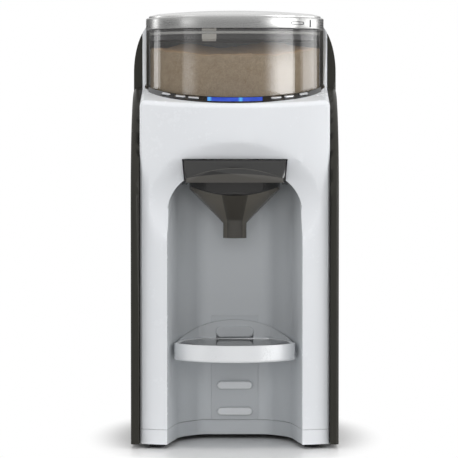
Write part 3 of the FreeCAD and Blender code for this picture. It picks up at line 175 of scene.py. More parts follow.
# Camera: a long lens from straight in front, level with the canister's foot.  It looks slightly
# down, so its centre falls on the bottle bay.
FRAME_PIXELS = 458
FOCAL_PIXELS = 3001
SENSOR = 36
lens = bpy.data.cameras.new("long_lens")
lens.sensor_width = SENSOR
lens.lens = SENSOR * FOCAL_PIXELS / FRAME_PIXELS
camera = bpy.data.objects.new("camera", lens)
bpy.context.scene.collection.objects.link(camera)
bpy.context.scene.camera = camera
camera.location = (0, -2.41, 0.2605)
HORIZON_OFFSET, MIDDLE_OFFSET = 119, 5.8
camera.rotation_euler = (math.pi / 2 - math.atan(HORIZON_OFFSET / FOCAL_PIXELS), 0,
                         math.atan(MIDDLE_OFFSET / FOCAL_PIXELS))


# White shell: injection-moulded ABS in gloss white, in four mouldings clipped together.  It shows
# a clean gloss with a faint waviness, and its colour drifts very little.  The grain of every moulding
# is drawn coarser than real, so that it can show.
def toned(tree, melt, tone):
    """A second tone of a plastic, where a mask over its own coordinates (mm) is lit."""
    if tone is None:
        return melt
    mask, colour = tone
    place = add(tree, "ShaderNodeTexCoord").outputs["Object"]
    place = add(tree, "ShaderNodeVectorMath", {0: place, "Scale": 1 / MM},
                operation="SCALE").outputs["Vector"]
    at = add(tree, "ShaderNodeSeparateXYZ", {"Vector": place}).outputs
    return add(tree, "ShaderNodeMix", {0: mask(tree, at["X"], at["Y"], at["Z"]), 6: melt, 7: linear(colour)},
               data_type="RGBA").outputs[2]


FLOWS_PER_METRE, MARKS_PER_METRE = 14.0, 45.0


def moulded(name, colour, drift, gloss, grain, relief, tone=None, **constants):
    """A moulded plastic: a slow drift of colour, and the mould's grain (mm) in gloss and relief."""
    material = blank(name)
    tree = material.node_tree
    place = add(tree, "ShaderNodeTexCoord").outputs["Object"]
    flow = add(tree, "ShaderNodeTexNoise", {"Vector": place, "Scale": FLOWS_PER_METRE, "Detail": 2.0,
                                            "Distortion": 0.6}).outputs["Fac"]
    melt = add(tree, "ShaderNodeMix", {0: flow, 6: linear(colour), 7: linear(drift)},
               data_type="RGBA").outputs[2]
    melt = toned(tree, melt, tone)
    skin = add(tree, "ShaderNodeTexNoise", {"Vector": place, "Scale": 1 / (grain * MM), "Detail": 3.0,
                                            "Roughness": 0.55}).outputs["Fac"]
    handling = add(tree, "ShaderNodeTexNoise", {"Vector": place, "Scale": MARKS_PER_METRE,
                                                "Detail": 4.0}).outputs["Fac"]
    both = add(tree, "ShaderNodeMix", {0: 0.5, 2: skin, 3: handling}).outputs[0]
    rough = add(tree, "ShaderNodeMapRange", {"Value": both, "From Min": 0.3, "From Max": 0.7,
                                             "To Min": gloss[0], "To Max": gloss[1]}).outputs["Result"]
    bump = add(tree, "ShaderNodeBump", {"Height": skin, "Distance": relief * MM}).outputs["Normal"]
    shell = add(tree, "ShaderNodeBsdfPrincipled", {"Base Color": melt, "Roughness": rough,
                                                   "Normal": bump, **constants})
    add(tree, "ShaderNodeOutputMaterial", {"Surface": shell.outputs["BSDF"]})
    return material


def finish(material, *nodes):
    """Gives CAD solids a material."""
    for name in nodes:
        for slot in frame["nodes"][name].material_slots:
            slot.material = material


def smooth(thing, degrees):
    """Smooth shading, but for edges sharper than an angle."""
    bpy.ops.object.select_all(action="DESELECT")
    thing.select_set(True)
    bpy.context.view_layer.objects.active = thing
    bpy.ops.object.shade_smooth_by_angle(angle=math.radians(degrees))
    return thing


def weighted(thing, degrees, weight):
    """Smooth shading in which the large faces stay flat, but for edges sharper than an angle."""
    smooth(thing, degrees)
    weigh = thing.modifiers.new("face_weighted_normals", "WEIGHTED_NORMAL")
    weigh.keep_sharp = True
    weigh.weight = weight
    bpy.ops.object.modifier_apply(modifier=weigh.name)


def body_of(node):
    """The body that a CAD solid belongs to."""
    return next(body for body, members in frame["record"]["behaviour"]["bodies"].items()
                if node in members)


MERGED = 0.004
FLAT_WEIGHT = 80


def remade(node, name, material, degrees=24, edge=0.0):
    """A CAD solid whose triangles are merged, with its edges eased (mm) and its curves smooth."""
    thing = bpy.data.objects.new(name, frame["nodes"][node].data.copy())
    bpy.context.scene.collection.objects.link(thing)
    thing.data.materials.clear()
    thing.data.materials.append(material)
    bpy.ops.object.select_all(action="DESELECT")
    thing.select_set(True)
    bpy.context.view_layer.objects.active = thing
    bpy.ops.object.mode_set(mode="EDIT")
    bpy.ops.mesh.select_all(action="SELECT")
    bpy.ops.mesh.remove_doubles(threshold=MERGED * MM)
    if edge:
        bpy.ops.mesh.dissolve_limited(angle_limit=math.radians(0.1))
    bpy.ops.mesh.normals_make_consistent(inside=False)
    bpy.ops.object.mode_set(mode="OBJECT")
    if edge:
        ease = thing.modifiers.new("eased_edges", "BEVEL")
        ease.width = edge * MM
        ease.segments = 3
        ease.limit_method = "ANGLE"
        ease.angle_limit = math.radians(40)
        ease.use_clamp_overlap = True
        bpy.ops.object.modifier_apply(modifier=ease.name)
    weighted(thing, degrees, FLAT_WEIGHT)
    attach(thing, body_of(node))
    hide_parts(node)
    return thing


white_abs = moulded("gloss_white_abs", "#eef0f3", "#e6e9ed", (0.2, 0.3), 3.2, 0.006, IOR=1.53,
                    **{"Specular IOR Level": 0.3})
for name in ("main_body", "base_skirt", "rear_cover"):
    remade(name, name + "_moulding", white_abs)


# Front fascia: one of these mouldings.  Its scoop round the top of the bay blends into the bowed
# front without a crease, so the front is cut into a fine grid and relaxed across the scoop's rim.
def gridded(thing, *runs):
    """Cuts a mesh along upright and level planes (axis, low, high, step in mm)."""
    bpy.context.view_layer.objects.active = thing
    bpy.ops.object.mode_set(mode="EDIT")
    for axis, low, high, step in runs:
        for number in range(int((high - low) / step) + 1):
            through, across = Vector(), Vector()
            through[axis] = (low + number * step) * MM
            across[axis] = 1.0
            bpy.ops.mesh.select_all(action="SELECT")
            bpy.ops.mesh.bisect(plane_co=through, plane_no=across)
    bpy.ops.object.mode_set(mode="OBJECT")


EVEN_WEIGHT = 50


def reshaded(thing, degrees):
    """Smooth shading again, after a mesh has changed."""
    bpy.context.view_layer.objects.active = thing
    bpy.ops.mesh.customdata_custom_splitnormals_clear()
    weighted(thing, degrees, EVEN_WEIGHT)


ARCH_X, ARCH_Z, ARCH_CURVE = 20.6, 181, 31.4
ARCH_FOOT, ARCH_SLACK = 4, 0.8


def round_arch(x, z):
    """A point near the arch of the bay, moved out onto its true curve."""
    side, up = abs(x) - ARCH_X, z - ARCH_Z
    reach = math.hypot(side, up)
    if side > 0 and up > ARCH_FOOT and ARCH_CURVE - ARCH_SLACK < reach < ARCH_CURVE:
        return math.copysign(ARCH_X + side * ARCH_CURVE / reach, x), ARCH_Z + up * ARCH_CURVE / reach
    return x, z


fascia = remade("front_fascia", "front_fascia_moulding", white_abs)
SCOOP_FRONT, SCOOP_SIDE, SCOOP_LOW, SCOOP_TOP, SCOOP_GRID = -92, 69, 118, 254, 3
SCOOP_FACING, SCOOP_CREASE, SCOOP_PASSES = -0.3, 52, 48
BOW_Y, BOW_CURVE, BOW_SLACK = 60, 180, 0.35
gridded(fascia, (0, -SCOOP_SIDE, SCOOP_SIDE, SCOOP_GRID), (2, SCOOP_LOW, SCOOP_TOP, SCOOP_GRID))
front = bmesh.new()
front.from_mesh(fascia.data)
loose = []
for point in front.verts:
    x, y, z = point.co / MM
    sharp = any(len(line.link_faces) == 2 and line.calc_face_angle() > math.radians(SCOOP_CREASE)
                for line in point.link_edges)
    if abs(math.hypot(x, y - BOW_Y) - BOW_CURVE) < BOW_SLACK and y < SCOOP_FRONT:
        point.co.y = (BOW_Y - math.sqrt(BOW_CURVE ** 2 - x ** 2)) * MM
    if (not sharp and y < SCOOP_FRONT and point.normal.y < SCOOP_FACING and abs(x) < SCOOP_SIDE
            and SCOOP_LOW < z < SCOOP_TOP):
        loose.append(point.index)
    x, z = round_arch(x, z)
    point.co.x, point.co.z = x * MM, z * MM
front.to_mesh(fascia.data)
front.free()
fascia.vertex_groups.new(name="scoop_rim").add(loose, 1.0, "REPLACE")
relax = fascia.modifiers.new("relaxed_scoop", "SMOOTH")
relax.factor = 0.5
relax.iterations = SCOOP_PASSES
relax.vertex_group = "scoop_rim"
bpy.ops.object.modifier_apply(modifier=relax.name)
reshaded(fascia, 40)

# Side covers: thick mouldings in warm charcoal ABS, satin from a fine spark grain.  The grain is
# drawn coarser than the real quarter of a millimetre, so that it can show.
charcoal_abs = moulded("satin_charcoal_abs", "#2f2e29", "#2a2924", (0.36, 0.48), 0.9, 0.012, IOR=1.53,
                       **{"Specular IOR Level": 0.25})
for side in ("left", "right"):
    remade(side + "_side_cover", side + "_cover_moulding", charcoal_abs)

# Bay lining, its plinth and the tank's shelf: satin ABS, moulded with a fine matt grain and clipped into the
# shell.  Its light grey is painted shade: the shell's white plastic, darkened as it looks in the bay.  The
# lining's rails carry the funnel drawer, and their ends are dark.
painted_shade_grey_abs = moulded("satin_abs_in_painted_shade_grey", "#ced1d4", "#c7cbce", (0.34, 0.46), 0.8, 0.01, IOR=1.53)
for name in ("bay_skirt", "tank_seat"):
    remade(name, name + "_moulding", painted_shade_grey_abs)
RAIL_X, RAIL_FRONT, RAIL_Z, RAIL_HALF = 38.6, -95.0, 204.6, 3.0


def rail_ends(tree, x, y, z):
    """The ends of the funnel's rails."""
    level = add(tree, "ShaderNodeMath", {0: z, 1: RAIL_Z, 2: RAIL_HALF}, operation="COMPARE").outputs[0]
    ahead = add(tree, "ShaderNodeMath", {0: y, 1: RAIL_FRONT}, operation="LESS_THAN").outputs[0]
    either = add(tree, "ShaderNodeMath", {0: x}, operation="ABSOLUTE").outputs[0]
    beside = add(tree, "ShaderNodeMath", {0: either, 1: RAIL_X, 2: RAIL_HALF}, operation="COMPARE").outputs[0]
    ends = add(tree, "ShaderNodeMath", {0: level, 1: ahead}, operation="MULTIPLY").outputs[0]
    return add(tree, "ShaderNodeMath", {0: ends, 1: beside}, operation="MULTIPLY").outputs[0]


# The lining is in the same painted-shade grey, and its rails' ends are dark.
painted_shade_liner_abs = moulded("satin_abs_lining_in_painted_shade_grey", "#ced1d4", "#c7cbce", (0.34, 0.46), 0.8, 0.01,
                    tone=(rail_ends, "#3c3f42"), IOR=1.53)
liner = remade("bay_liner", "bay_liner_moulding", painted_shade_liner_abs)
ARCH_GRID = 2
gridded(liner, (0, ARCH_X, ARCH_X + ARCH_CURVE, ARCH_GRID), (0, -ARCH_X - ARCH_CURVE, -ARCH_X, ARCH_GRID),
        (2, ARCH_Z, ARCH_Z + ARCH_CURVE, ARCH_GRID))
for point in liner.data.vertices:
    x, y, z = point.co / MM
    x, z = round_arch(x, z)
    point.co = (x * MM, y * MM, z * MM)
reshaded(liner, 24)

# Peg strip: ABS in the same painted-shade grey, with four rounded pegs that the tray hangs on, snapped into
# the back of the bay.  The pegs' faces are painted paler than the strip, as painted light.
PEG_ROOT = -38.5


def peg_faces_painted_light(tree, x, y, z):
    """All that stands out from the strip, painted paler as painted light."""
    return add(tree, "ShaderNodeMath", {0: y, 1: PEG_ROOT}, operation="LESS_THAN").outputs[0]


painted_shade_and_light_peg_abs = moulded("satin_abs_pegs_in_painted_light_and_shade", "#c6c9cc", "#bfc3c6", (0.34, 0.46), 0.8, 0.01,
                  tone=(peg_faces_painted_light, "#e4e6e8"), IOR=1.53)
remade("peg_strip", "peg_strip_moulding", painted_shade_and_light_peg_abs, edge=0.25)

# Powder canister: a clear tub injected in SAN with a faint smoky tint.  It is open at the top, and
# its lower edge is rounded where it sits in the deck.
SWIRLS_PER_METRE, WALL_WAVE = 40.0, 0.05
MIRROR_FRONT, MIRROR_EDGE = 0.055, 0.9


def clear_plastic(name, colour, facing, grazing, rough=0.05, span=(0.1, 0.95), tone=None, **constants):
    """A see-through moulding: thin to look through square on, dense where the wall turns away."""
    material = blank(name)
    tree = material.node_tree
    place = add(tree, "ShaderNodeTexCoord").outputs["Object"]
    turn_away = add(tree, "ShaderNodeLayerWeight", {"Blend": 0.42}).outputs["Facing"]
    dense = add(tree, "ShaderNodeMapRange", {"Value": turn_away, "From Min": span[0], "From Max": span[1],
                                             "To Min": facing, "To Max": grazing},
                interpolation_type="SMOOTHERSTEP").outputs["Result"]
    swirl = add(tree, "ShaderNodeTexNoise", {"Vector": place, "Scale": SWIRLS_PER_METRE,
                                             "Detail": 2.0}).outputs["Fac"]
    haze = add(tree, "ShaderNodeMapRange", {"Value": swirl, "To Min": 0.6 * rough,
                                            "To Max": 1.4 * rough}).outputs["Result"]
    wave = add(tree, "ShaderNodeBump", {"Height": swirl, "Strength": 0.3,
                                        "Distance": WALL_WAVE * MM}).outputs["Normal"]
    melt = add(tree, "ShaderNodeMix", {0: swirl, 6: linear(colour[0]), 7: linear(colour[1])},
               data_type="RGBA").outputs[2]
    melt = toned(tree, melt, tone)
    wall = add(tree, "ShaderNodeBsdfPrincipled", {"Base Color": melt, "Roughness": haze, "Alpha": dense,
                                                  "Specular IOR Level": 0.0, "Normal": wave, **constants})
    polish = add(tree, "ShaderNodeBsdfAnisotropic", {"Roughness": haze, "Normal": wave})
    away = add(tree, "ShaderNodeLayerWeight", {"Blend": 0.5}).outputs["Facing"]
    mirror = add(tree, "ShaderNodeMath", {0: away, 1: 5.0}, operation="POWER").outputs[0]
    mirror = add(tree, "ShaderNodeMath", {0: mirror, 1: MIRROR_EDGE, 2: MIRROR_FRONT},
                 operation="MULTIPLY_ADD").outputs[0]
    both = add(tree, "ShaderNodeMixShader", {0: mirror, 1: wall.outputs["BSDF"],
                                             2: polish.outputs["BSDF"]})
    add(tree, "ShaderNodeOutputMaterial", {"Surface": both.outputs["Shader"]})
    return material


def settle(thing):
    """Moves an object's place into its mesh."""
    bpy.ops.object.select_all(action="DESELECT")
    thing.select_set(True)
    bpy.context.view_layer.objects.active = thing
    bpy.ops.object.transform_apply(location=True, rotation=True, scale=True)
    return thing


CANISTER_AXIS = (0, -36)
TURNED_STEPS = 144


def turned(name, material, *runs, degrees=30):
    """A piece round the canister's axis: a circle extruded through rings (radius, height in mm)."""
    bpy.ops.object.select_all(action="DESELECT")
    x, y = (value * MM for value in CANISTER_AXIS)
    for number, run in enumerate(runs):
        radius, height = run[0]
        bpy.ops.mesh.primitive_circle_add(vertices=TURNED_STEPS, radius=radius * MM,
                                          location=(x, y, height * MM))
        if not number:
            thing = settle(bpy.context.object)
            bpy.ops.object.mode_set(mode="EDIT")
            bpy.ops.mesh.select_all(action="SELECT")
        for (before, low), (after, high) in zip(run, run[1:]):
            bpy.ops.mesh.extrude_edges_move(TRANSFORM_OT_translate={"value": (0, 0, (high - low) * MM)})
            if after != before:
                size = max(after, 0.0001) / before
                bpy.ops.transform.resize(value=(size, size, 1), center_override=(x, y, high * MM))
    bpy.ops.mesh.select_all(action="SELECT")
    bpy.ops.mesh.remove_doubles(threshold=MERGED * MM)
    bpy.ops.mesh.normals_make_consistent(inside=False)
    bpy.ops.object.mode_set(mode="OBJECT")
    thing.name = name
    thing.data.name = name
    thing.data.materials.append(material)
    return smooth(thing, degrees)


def arc(centre, radius, start, end, count=6):
    """Rings along an arc of a turned profile, between two angles in degrees."""
    return [(centre[0] + radius * math.cos(math.radians(start + (end - start) * step / count)),
             centre[1] + radius * math.sin(math.radians(start + (end - start) * step / count)))
            for step in range(count + 1)]


TUB_INNER, TUB_OUTER, TUB_LOW, TUB_TOP = 67.5, 70, 262.5, 323
TUB_FOOT, TUB_LIP = 2.4, 0.5
clear_san = clear_plastic("smoky_clear_san", ("#4a453f", "#423e39"), 0.12, 0.94, rough=0.03,
                          span=(0.58, 0.99), IOR=1.57)
canister_tub = turned("canister_tub", clear_san,
                      [(TUB_INNER, TUB_LOW),
                       *arc((TUB_OUTER - TUB_FOOT, TUB_LOW + TUB_FOOT), TUB_FOOT, -90, 0),
                       *arc((TUB_OUTER - TUB_LIP, TUB_TOP - TUB_LIP), TUB_LIP, 0, 90, 3),
                       (TUB_INNER, TUB_TOP), (TUB_INNER, TUB_LOW)])
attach(canister_tub, "canister")
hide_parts("canister_wall")

# Milk powder: cream-coloured and very fine, poured into a heap that leans to one side.  It clumps
# a little, and its grains are drawn larger than real, so that they can show.
milk_powder = blank("milk_powder")
tree = milk_powder.node_tree
place = add(tree, "ShaderNodeTexCoord").outputs["Object"]
GRAIN, CLUMP = 0.9, 6.0
grains = add(tree, "ShaderNodeTexVoronoi", {"Vector": place, "Scale": 1 / (GRAIN * MM)}).outputs["Distance"]
clumps = add(tree, "ShaderNodeTexNoise", {"Vector": place, "Scale": 1 / (CLUMP * MM), "Detail": 5.0,
                                          "Roughness": 0.65}).outputs["Fac"]
mottle = add(tree, "ShaderNodeMix", {0: 0.55, 2: grains, 3: clumps}).outputs[0]
powder_tone = add(tree, "ShaderNodeValToRGB", {"Fac": mottle})
powder_tone.color_ramp.elements[0].position = 0.25
powder_tone.color_ramp.elements[0].color = linear("#9c8567")
powder_tone.color_ramp.elements[1].position = 0.7
powder_tone.color_ramp.elements[1].color = linear("#bfac90")
powder_relief = add(tree, "ShaderNodeBump", {"Height": mottle, "Strength": 0.8,
                                             "Distance": 0.6 * MM}).outputs["Normal"]
# Faces that turn upward are painted paler, as painted light on the top of the heap.
upward = add(tree, "ShaderNodeNewGeometry").outputs["Normal"]
upward = add(tree, "ShaderNodeSeparateXYZ", {"Vector": upward}).outputs["Z"]
painted_top_light = add(tree, "ShaderNodeMapRange", {"Value": upward, "From Min": 0.3, "From Max": 0.9,
                                           "To Max": 0.7}).outputs["Result"]
powder_colour = add(tree, "ShaderNodeMix", {0: painted_top_light, 6: powder_tone.outputs["Color"],
                                            7: linear("#f0c48d")}, data_type="RGBA").outputs[2]
powder_skin = add(tree, "ShaderNodeBsdfPrincipled", {"Base Color": powder_colour, "Roughness": 0.92,
                                                     "Sheen Weight": 0.15, "Normal": powder_relief})
add(tree, "ShaderNodeOutputMaterial", {"Surface": powder_skin.outputs["BSDF"]})
HEAP_EDGE, HEAP_LOW, HEAP_BELT, HEAP_RIM = 67.1, 268, 287, 302.5
HEAP_RINGS, HEAP_SPREAD, HEAP_LIFT = 22, 66.5, 0.8
POCKET_WIDE, POCKET_TOP, HUB_WIDE, HUB_TOP = 63, 294, 10, 302
SLOPE_START, SLOPE_RUN, SLOPE_RISE = -64, 46, 5.0
CRESTS = ((27, 25, 5.0), (-36, 13, 4.4))
heap_rings = [(HEAP_EDGE - 0.5 - HEAP_SPREAD * step / HEAP_RINGS, HEAP_RIM) for step in range(HEAP_RINGS + 1)]
powder_heap = turned("powder_heap", milk_powder,
                     [(POCKET_WIDE, HEAP_LOW), (HEAP_EDGE, HEAP_LOW), (HEAP_EDGE, HEAP_BELT),
                      (HEAP_EDGE, HEAP_RIM - 0.5), *heap_rings, (0, HEAP_RIM)],
                     [(POCKET_WIDE, HEAP_LOW), (POCKET_WIDE, POCKET_TOP), (HUB_WIDE, POCKET_TOP),
                      (HUB_WIDE, HUB_TOP), (0, HUB_TOP)], degrees=60)
for point in powder_heap.data.vertices:
    if point.co.z > (HEAP_RIM - 1) * MM:
        x, y = point.co.x / MM, point.co.y / MM - CANISTER_AXIS[1]
        back = min(max((y - SLOPE_START) / SLOPE_RUN, 0), 1)
        crest = sum(height * math.exp(-((x - middle) / wide) ** 2) for middle, wide, height in CRESTS)
        lean = back * back * (3 - 2 * back) * (SLOPE_RISE + crest)
        ripple = 0.45 * math.sin(x / 7.3 + 0.8) * math.cos(y / 9.1) + 0.35 * math.sin(x / 3.1 + y / 4.7)
        lumps = 0.45 * math.sin(x / 1.7 - y / 2.9) * math.sin(y / 2.3 + x / 5.3)
        point.co.z += (HEAP_LIFT + lean + ripple + lumps) * MM
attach(powder_heap, "canister")
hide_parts("powder")

# Canister floor: a smoky SAN disc with a dosing hole and a hole for the drive, clipped into the
# tub.
smoky_san = clear_plastic("smoky_san", ("#3a3a38", "#333331"), 0.8, 0.97, rough=0.16, IOR=1.57)
remade("canister_floor", "canister_floor_disc", smoky_san, edge=0.3)

# Dosing wheel and stirrer: natural white acetal with a dry, slightly waxy face, pushed onto the
# drive's hexagon.
acetal = moulded("natural_acetal", "#e4e3dd", "#dad8d0", (0.3, 0.45), 1.4, 0.01, IOR=1.48)
for name in ("dosing_wheel", "stirring_wheel"):
    remade(name, name + "_moulding", acetal, edge=0.25)

# Canister lid: a drawn stainless band round a spun crown.  The band is brushed along its length, in
# lines drawn coarser than real, so that they can show.  Marks printed on it show where the lid locks.
TOUCHES_PER_METRE, BRUSH_DEEP, BRUSH_STRANDS = 60.0, 0.02, 5.0


def brushed_metal(name, colour, worn, rough, thread, marks=None):
    """Brushed metal: fine lines along a band or round an axis, in gloss and relief."""
    material = blank(name)
    tree = material.node_tree
    place = add(tree, "ShaderNodeTexCoord").outputs["Object"]
    lines = add(tree, "ShaderNodeMapping", {"Vector": place, "Location": (0, -CANISTER_AXIS[1] * MM, 0)})
    parts = add(tree, "ShaderNodeSeparateXYZ", {"Vector": lines.outputs["Vector"]}).outputs
    around = add(tree, "ShaderNodeMath", {0: parts["Y"], 1: parts["X"]}, operation="ARCTAN2").outputs[0]
    level = add(tree, "ShaderNodeMath", {0: parts["X"], 1: parts["X"]}, operation="MULTIPLY").outputs[0]
    level = add(tree, "ShaderNodeMath", {0: parts["Y"], 1: parts["Y"], 2: level},
                operation="MULTIPLY_ADD").outputs[0]
    reach = add(tree, "ShaderNodeMath", {0: level}, operation="SQRT").outputs[0]
    across = add(tree, "ShaderNodeMath", {0: reach, 1: parts["Z"]}, operation="ADD").outputs[0]
    across = add(tree, "ShaderNodeMath", {0: across, 1: 1 / (thread * MM)}, operation="MULTIPLY").outputs[0]
    along = add(tree, "ShaderNodeMath", {0: around, 1: BRUSH_STRANDS}, operation="MULTIPLY").outputs[0]
    strand = add(tree, "ShaderNodeCombineXYZ", {"X": along, "Y": across}).outputs["Vector"]
    brush = add(tree, "ShaderNodeTexNoise", {"Vector": strand, "Scale": 1.0, "Detail": 4.0,
                                             "Roughness": 0.7}).outputs["Fac"]
    touch = add(tree, "ShaderNodeTexNoise", {"Vector": place, "Scale": TOUCHES_PER_METRE,
                                             "Detail": 3.0}).outputs["Fac"]
    tone = add(tree, "ShaderNodeMix", {0: brush, 6: linear(colour), 7: linear(worn)},
               data_type="RGBA").outputs[2]
    if marks:
        tone = add(tree, "ShaderNodeMix", {0: marks(tree, parts), 6: tone, 7: linear("#232427")},
                   data_type="RGBA").outputs[2]
    both = add(tree, "ShaderNodeMix", {0: 0.35, 2: brush, 3: touch}).outputs[0]
    gloss = add(tree, "ShaderNodeMapRange", {"Value": both, "From Min": 0.3, "From Max": 0.7,
                                             "To Min": rough[0], "To Max": rough[1]}).outputs["Result"]
    scratch = add(tree, "ShaderNodeBump", {"Height": brush, "Strength": 0.25,
                                           "Distance": BRUSH_DEEP * MM}).outputs["Normal"]
    metal = add(tree, "ShaderNodeBsdfPrincipled", {"Base Color": tone, "Metallic": 1.0, "Roughness": gloss,
                                                   "Normal": scratch})
    add(tree, "ShaderNodeOutputMaterial", {"Surface": metal.outputs["BSDF"]})
    return material


LOCK_PILL = (48.5, 327.6, 4.0, 0.9)
LOCK_LINE = (58.6, 327.6, 0.45, 2.7)
INK_LINE, INK_ROUND = 0.28, 0.1


def lock_marks(tree, parts):
    """Where the band carries its outlined pill and its short upright line."""
    def beyond(axis, middle, half):
        """How far a point is past a mark's straight middle, along one axis."""
        off = add(tree, "ShaderNodeMath", {0: parts[axis], 1: middle * MM}, operation="SUBTRACT").outputs[0]
        off = add(tree, "ShaderNodeMath", {0: off}, operation="ABSOLUTE").outputs[0]
        off = add(tree, "ShaderNodeMath", {0: off, 1: half * MM}, operation="SUBTRACT").outputs[0]
        return add(tree, "ShaderNodeMath", {0: off, 1: 0.0}, operation="MAXIMUM").outputs[0]

    def away(first, second):
        """The distance that two such reaches make."""
        square = add(tree, "ShaderNodeMath", {0: first, 1: first}, operation="MULTIPLY").outputs[0]
        square = add(tree, "ShaderNodeMath", {0: second, 1: second, 2: square},
                     operation="MULTIPLY_ADD").outputs[0]
        return add(tree, "ShaderNodeMath", {0: square}, operation="SQRT").outputs[0]

    pill_x, pill_z, pill_half, pill_tall = LOCK_PILL
    ring = away(beyond("X", pill_x, pill_half), beyond("Z", pill_z, 0.0))
    ring = add(tree, "ShaderNodeMath", {0: ring, 1: pill_tall * MM, 2: INK_LINE * MM},
               operation="COMPARE").outputs[0]
    line_x, line_z, line_half, line_tall = LOCK_LINE
    line = away(beyond("X", line_x, line_half), beyond("Z", line_z, line_tall))
    line = add(tree, "ShaderNodeMath", {0: line, 1: INK_ROUND * MM}, operation="LESS_THAN").outputs[0]
    both = add(tree, "ShaderNodeMath", {0: ring, 1: line}, operation="MAXIMUM").outputs[0]
    front = add(tree, "ShaderNodeMath", {0: parts["Y"], 1: 0.0}, operation="LESS_THAN").outputs[0]
    return add(tree, "ShaderNodeMath", {0: both, 1: front}, operation="MULTIPLY").outputs[0]


band_steel = brushed_metal("brushed_stainless_band", "#bdbdbc", "#aaaaa9", (0.22, 0.34), 0.35, lock_marks)
crown_steel = brushed_metal("spun_stainless_crown", "#e6e6e5", "#d8d8d7", (0.22, 0.34), 0.5)
BAND_LOW, BAND_TOP = 323.3, 332.5
BAND_INNER, BAND_FOOT, BAND_SHOULDER = TUB_OUTER - 2.2, 0.6, 1
lid_ring = turned("lid_ring", band_steel,
                  [(BAND_INNER, BAND_LOW),
                   *arc((TUB_OUTER - BAND_FOOT, BAND_LOW + BAND_FOOT), BAND_FOOT, -90, 0, 4),
                   *arc((TUB_OUTER - BAND_SHOULDER, BAND_TOP - BAND_SHOULDER), BAND_SHOULDER, 0, 90, 5),
                   (BAND_INNER, BAND_TOP), (BAND_INNER, BAND_LOW)])
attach(lid_ring, "lid_cap")
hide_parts("lid_band")
CROWN_TOP, CROWN_DROP, CROWN_RINGS = 338.5, 3.6, 12
CROWN_EDGE, CROWN_SHOULDER, CROWN_FOOT = TUB_OUTER - 2.3, BAND_TOP + 0.9, BAND_TOP - 4
dome_rings = [(CROWN_EDGE * (1 - step / CROWN_RINGS), CROWN_TOP - CROWN_DROP * (1 - step / CROWN_RINGS) ** 2)
              for step in range(1, CROWN_RINGS + 1)]
lid_dome = turned("lid_dome", crown_steel,
                  [(1, CROWN_FOOT), (CROWN_EDGE, CROWN_FOOT), (CROWN_EDGE, CROWN_SHOULDER),
                   *arc((CROWN_EDGE - 1, CROWN_SHOULDER), 1, 0, 80, 4), *dome_rings],
                  [(1, CROWN_FOOT), (0, CROWN_FOOT)])
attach(lid_dome, "lid_cap")
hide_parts("lid_top")

# Lid plug: dark polypropylene that closes the canister, with a pale scraper tab moulded on it.  A
# translucent silicone ring seals it.
TAB_X, TAB_HALF, TAB_BACK = -19.75, 5.6, -90.2


def scraper_tab(tree, x, y, z):
    """The place of the pale tab at the front of the plug."""
    beside = add(tree, "ShaderNodeMath", {0: x, 1: TAB_X, 2: TAB_HALF}, operation="COMPARE").outputs[0]
    ahead = add(tree, "ShaderNodeMath", {0: y, 1: TAB_BACK}, operation="LESS_THAN").outputs[0]
    return add(tree, "ShaderNodeMath", {0: beside, 1: ahead}, operation="MULTIPLY").outputs[0]


dark_pp = moulded("dark_polypropylene", "#222326", "#1b1c1f", (0.3, 0.45), 1.6, 0.012, IOR=1.49)
plug_pp = moulded("two_shot_polypropylene", "#222326", "#1b1c1f", (0.3, 0.45), 1.6, 0.012,
                  tone=(scraper_tab, "#c9c6bf"), IOR=1.49)
remade("lid_plug", "lid_plug_moulding", plug_pp, edge=0.2)
silicone = moulded("translucent_silicone", "#c9c9c6", "#bdbdba", (0.35, 0.5), 1.2, 0.01, IOR=1.41)
remade("lid_seal", "lid_seal_ring", silicone, degrees=60)

# Control panel: a crescent in black ABS, polished in the mould to a deep gloss, that slopes away
# from the canister.
black_gloss = moulded("polished_black_abs", "#0b0b0d", "#101013", (0.05, 0.1), 4.0, 0.002, IOR=1.53)
remade("control_panel", "control_panel_moulding", black_gloss)

# Display: a lit blue liquid-crystal window, let in flush with the panel behind a polished face.  Two
# diodes under it light it from below, and show as paler spots.
CLOUDS_PER_METRE = 120.0
DIODES = (-19.5, 4.5)
DIODE_SPREAD = 2.4
lit_glass = blank("lit_blue_display")
tree = lit_glass.node_tree
place = add(tree, "ShaderNodeTexCoord").outputs["Object"]
spots = add(tree, "ShaderNodeTexNoise", {"Vector": place, "Scale": CLOUDS_PER_METRE,
                                         "Detail": 1.0}).outputs["Fac"]
lit = add(tree, "ShaderNodeMix", {0: spots, 6: linear("#1535a8"), 7: linear("#2f5cd8")},
          data_type="RGBA").outputs[2]
sideways = add(tree, "ShaderNodeSeparateXYZ", {"Vector": place}).outputs["X"]
for diode in DIODES:
    off = add(tree, "ShaderNodeMath", {0: sideways, 1: diode * MM}, operation="SUBTRACT").outputs[0]
    off = add(tree, "ShaderNodeMath", {0: off}, operation="ABSOLUTE").outputs[0]
    bright = add(tree, "ShaderNodeMapRange", {"Value": off, "From Max": DIODE_SPREAD * MM, "To Min": 0.8,
                                              "To Max": 0.0}, interpolation_type="SMOOTHSTEP")
    lit = add(tree, "ShaderNodeMix", {0: bright.outputs["Result"], 6: lit, 7: linear("#5fc0ff")},
              data_type="RGBA").outputs[2]
face = add(tree, "ShaderNodeBsdfPrincipled", {"Base Color": linear("#060912"), "Roughness": 0.06,
                                              "Emission Color": lit, "Emission Strength": 1.0})
add(tree, "ShaderNodeOutputMaterial", {"Surface": face.outputs["BSDF"]})
finish(lit_glass, "lcd_window")

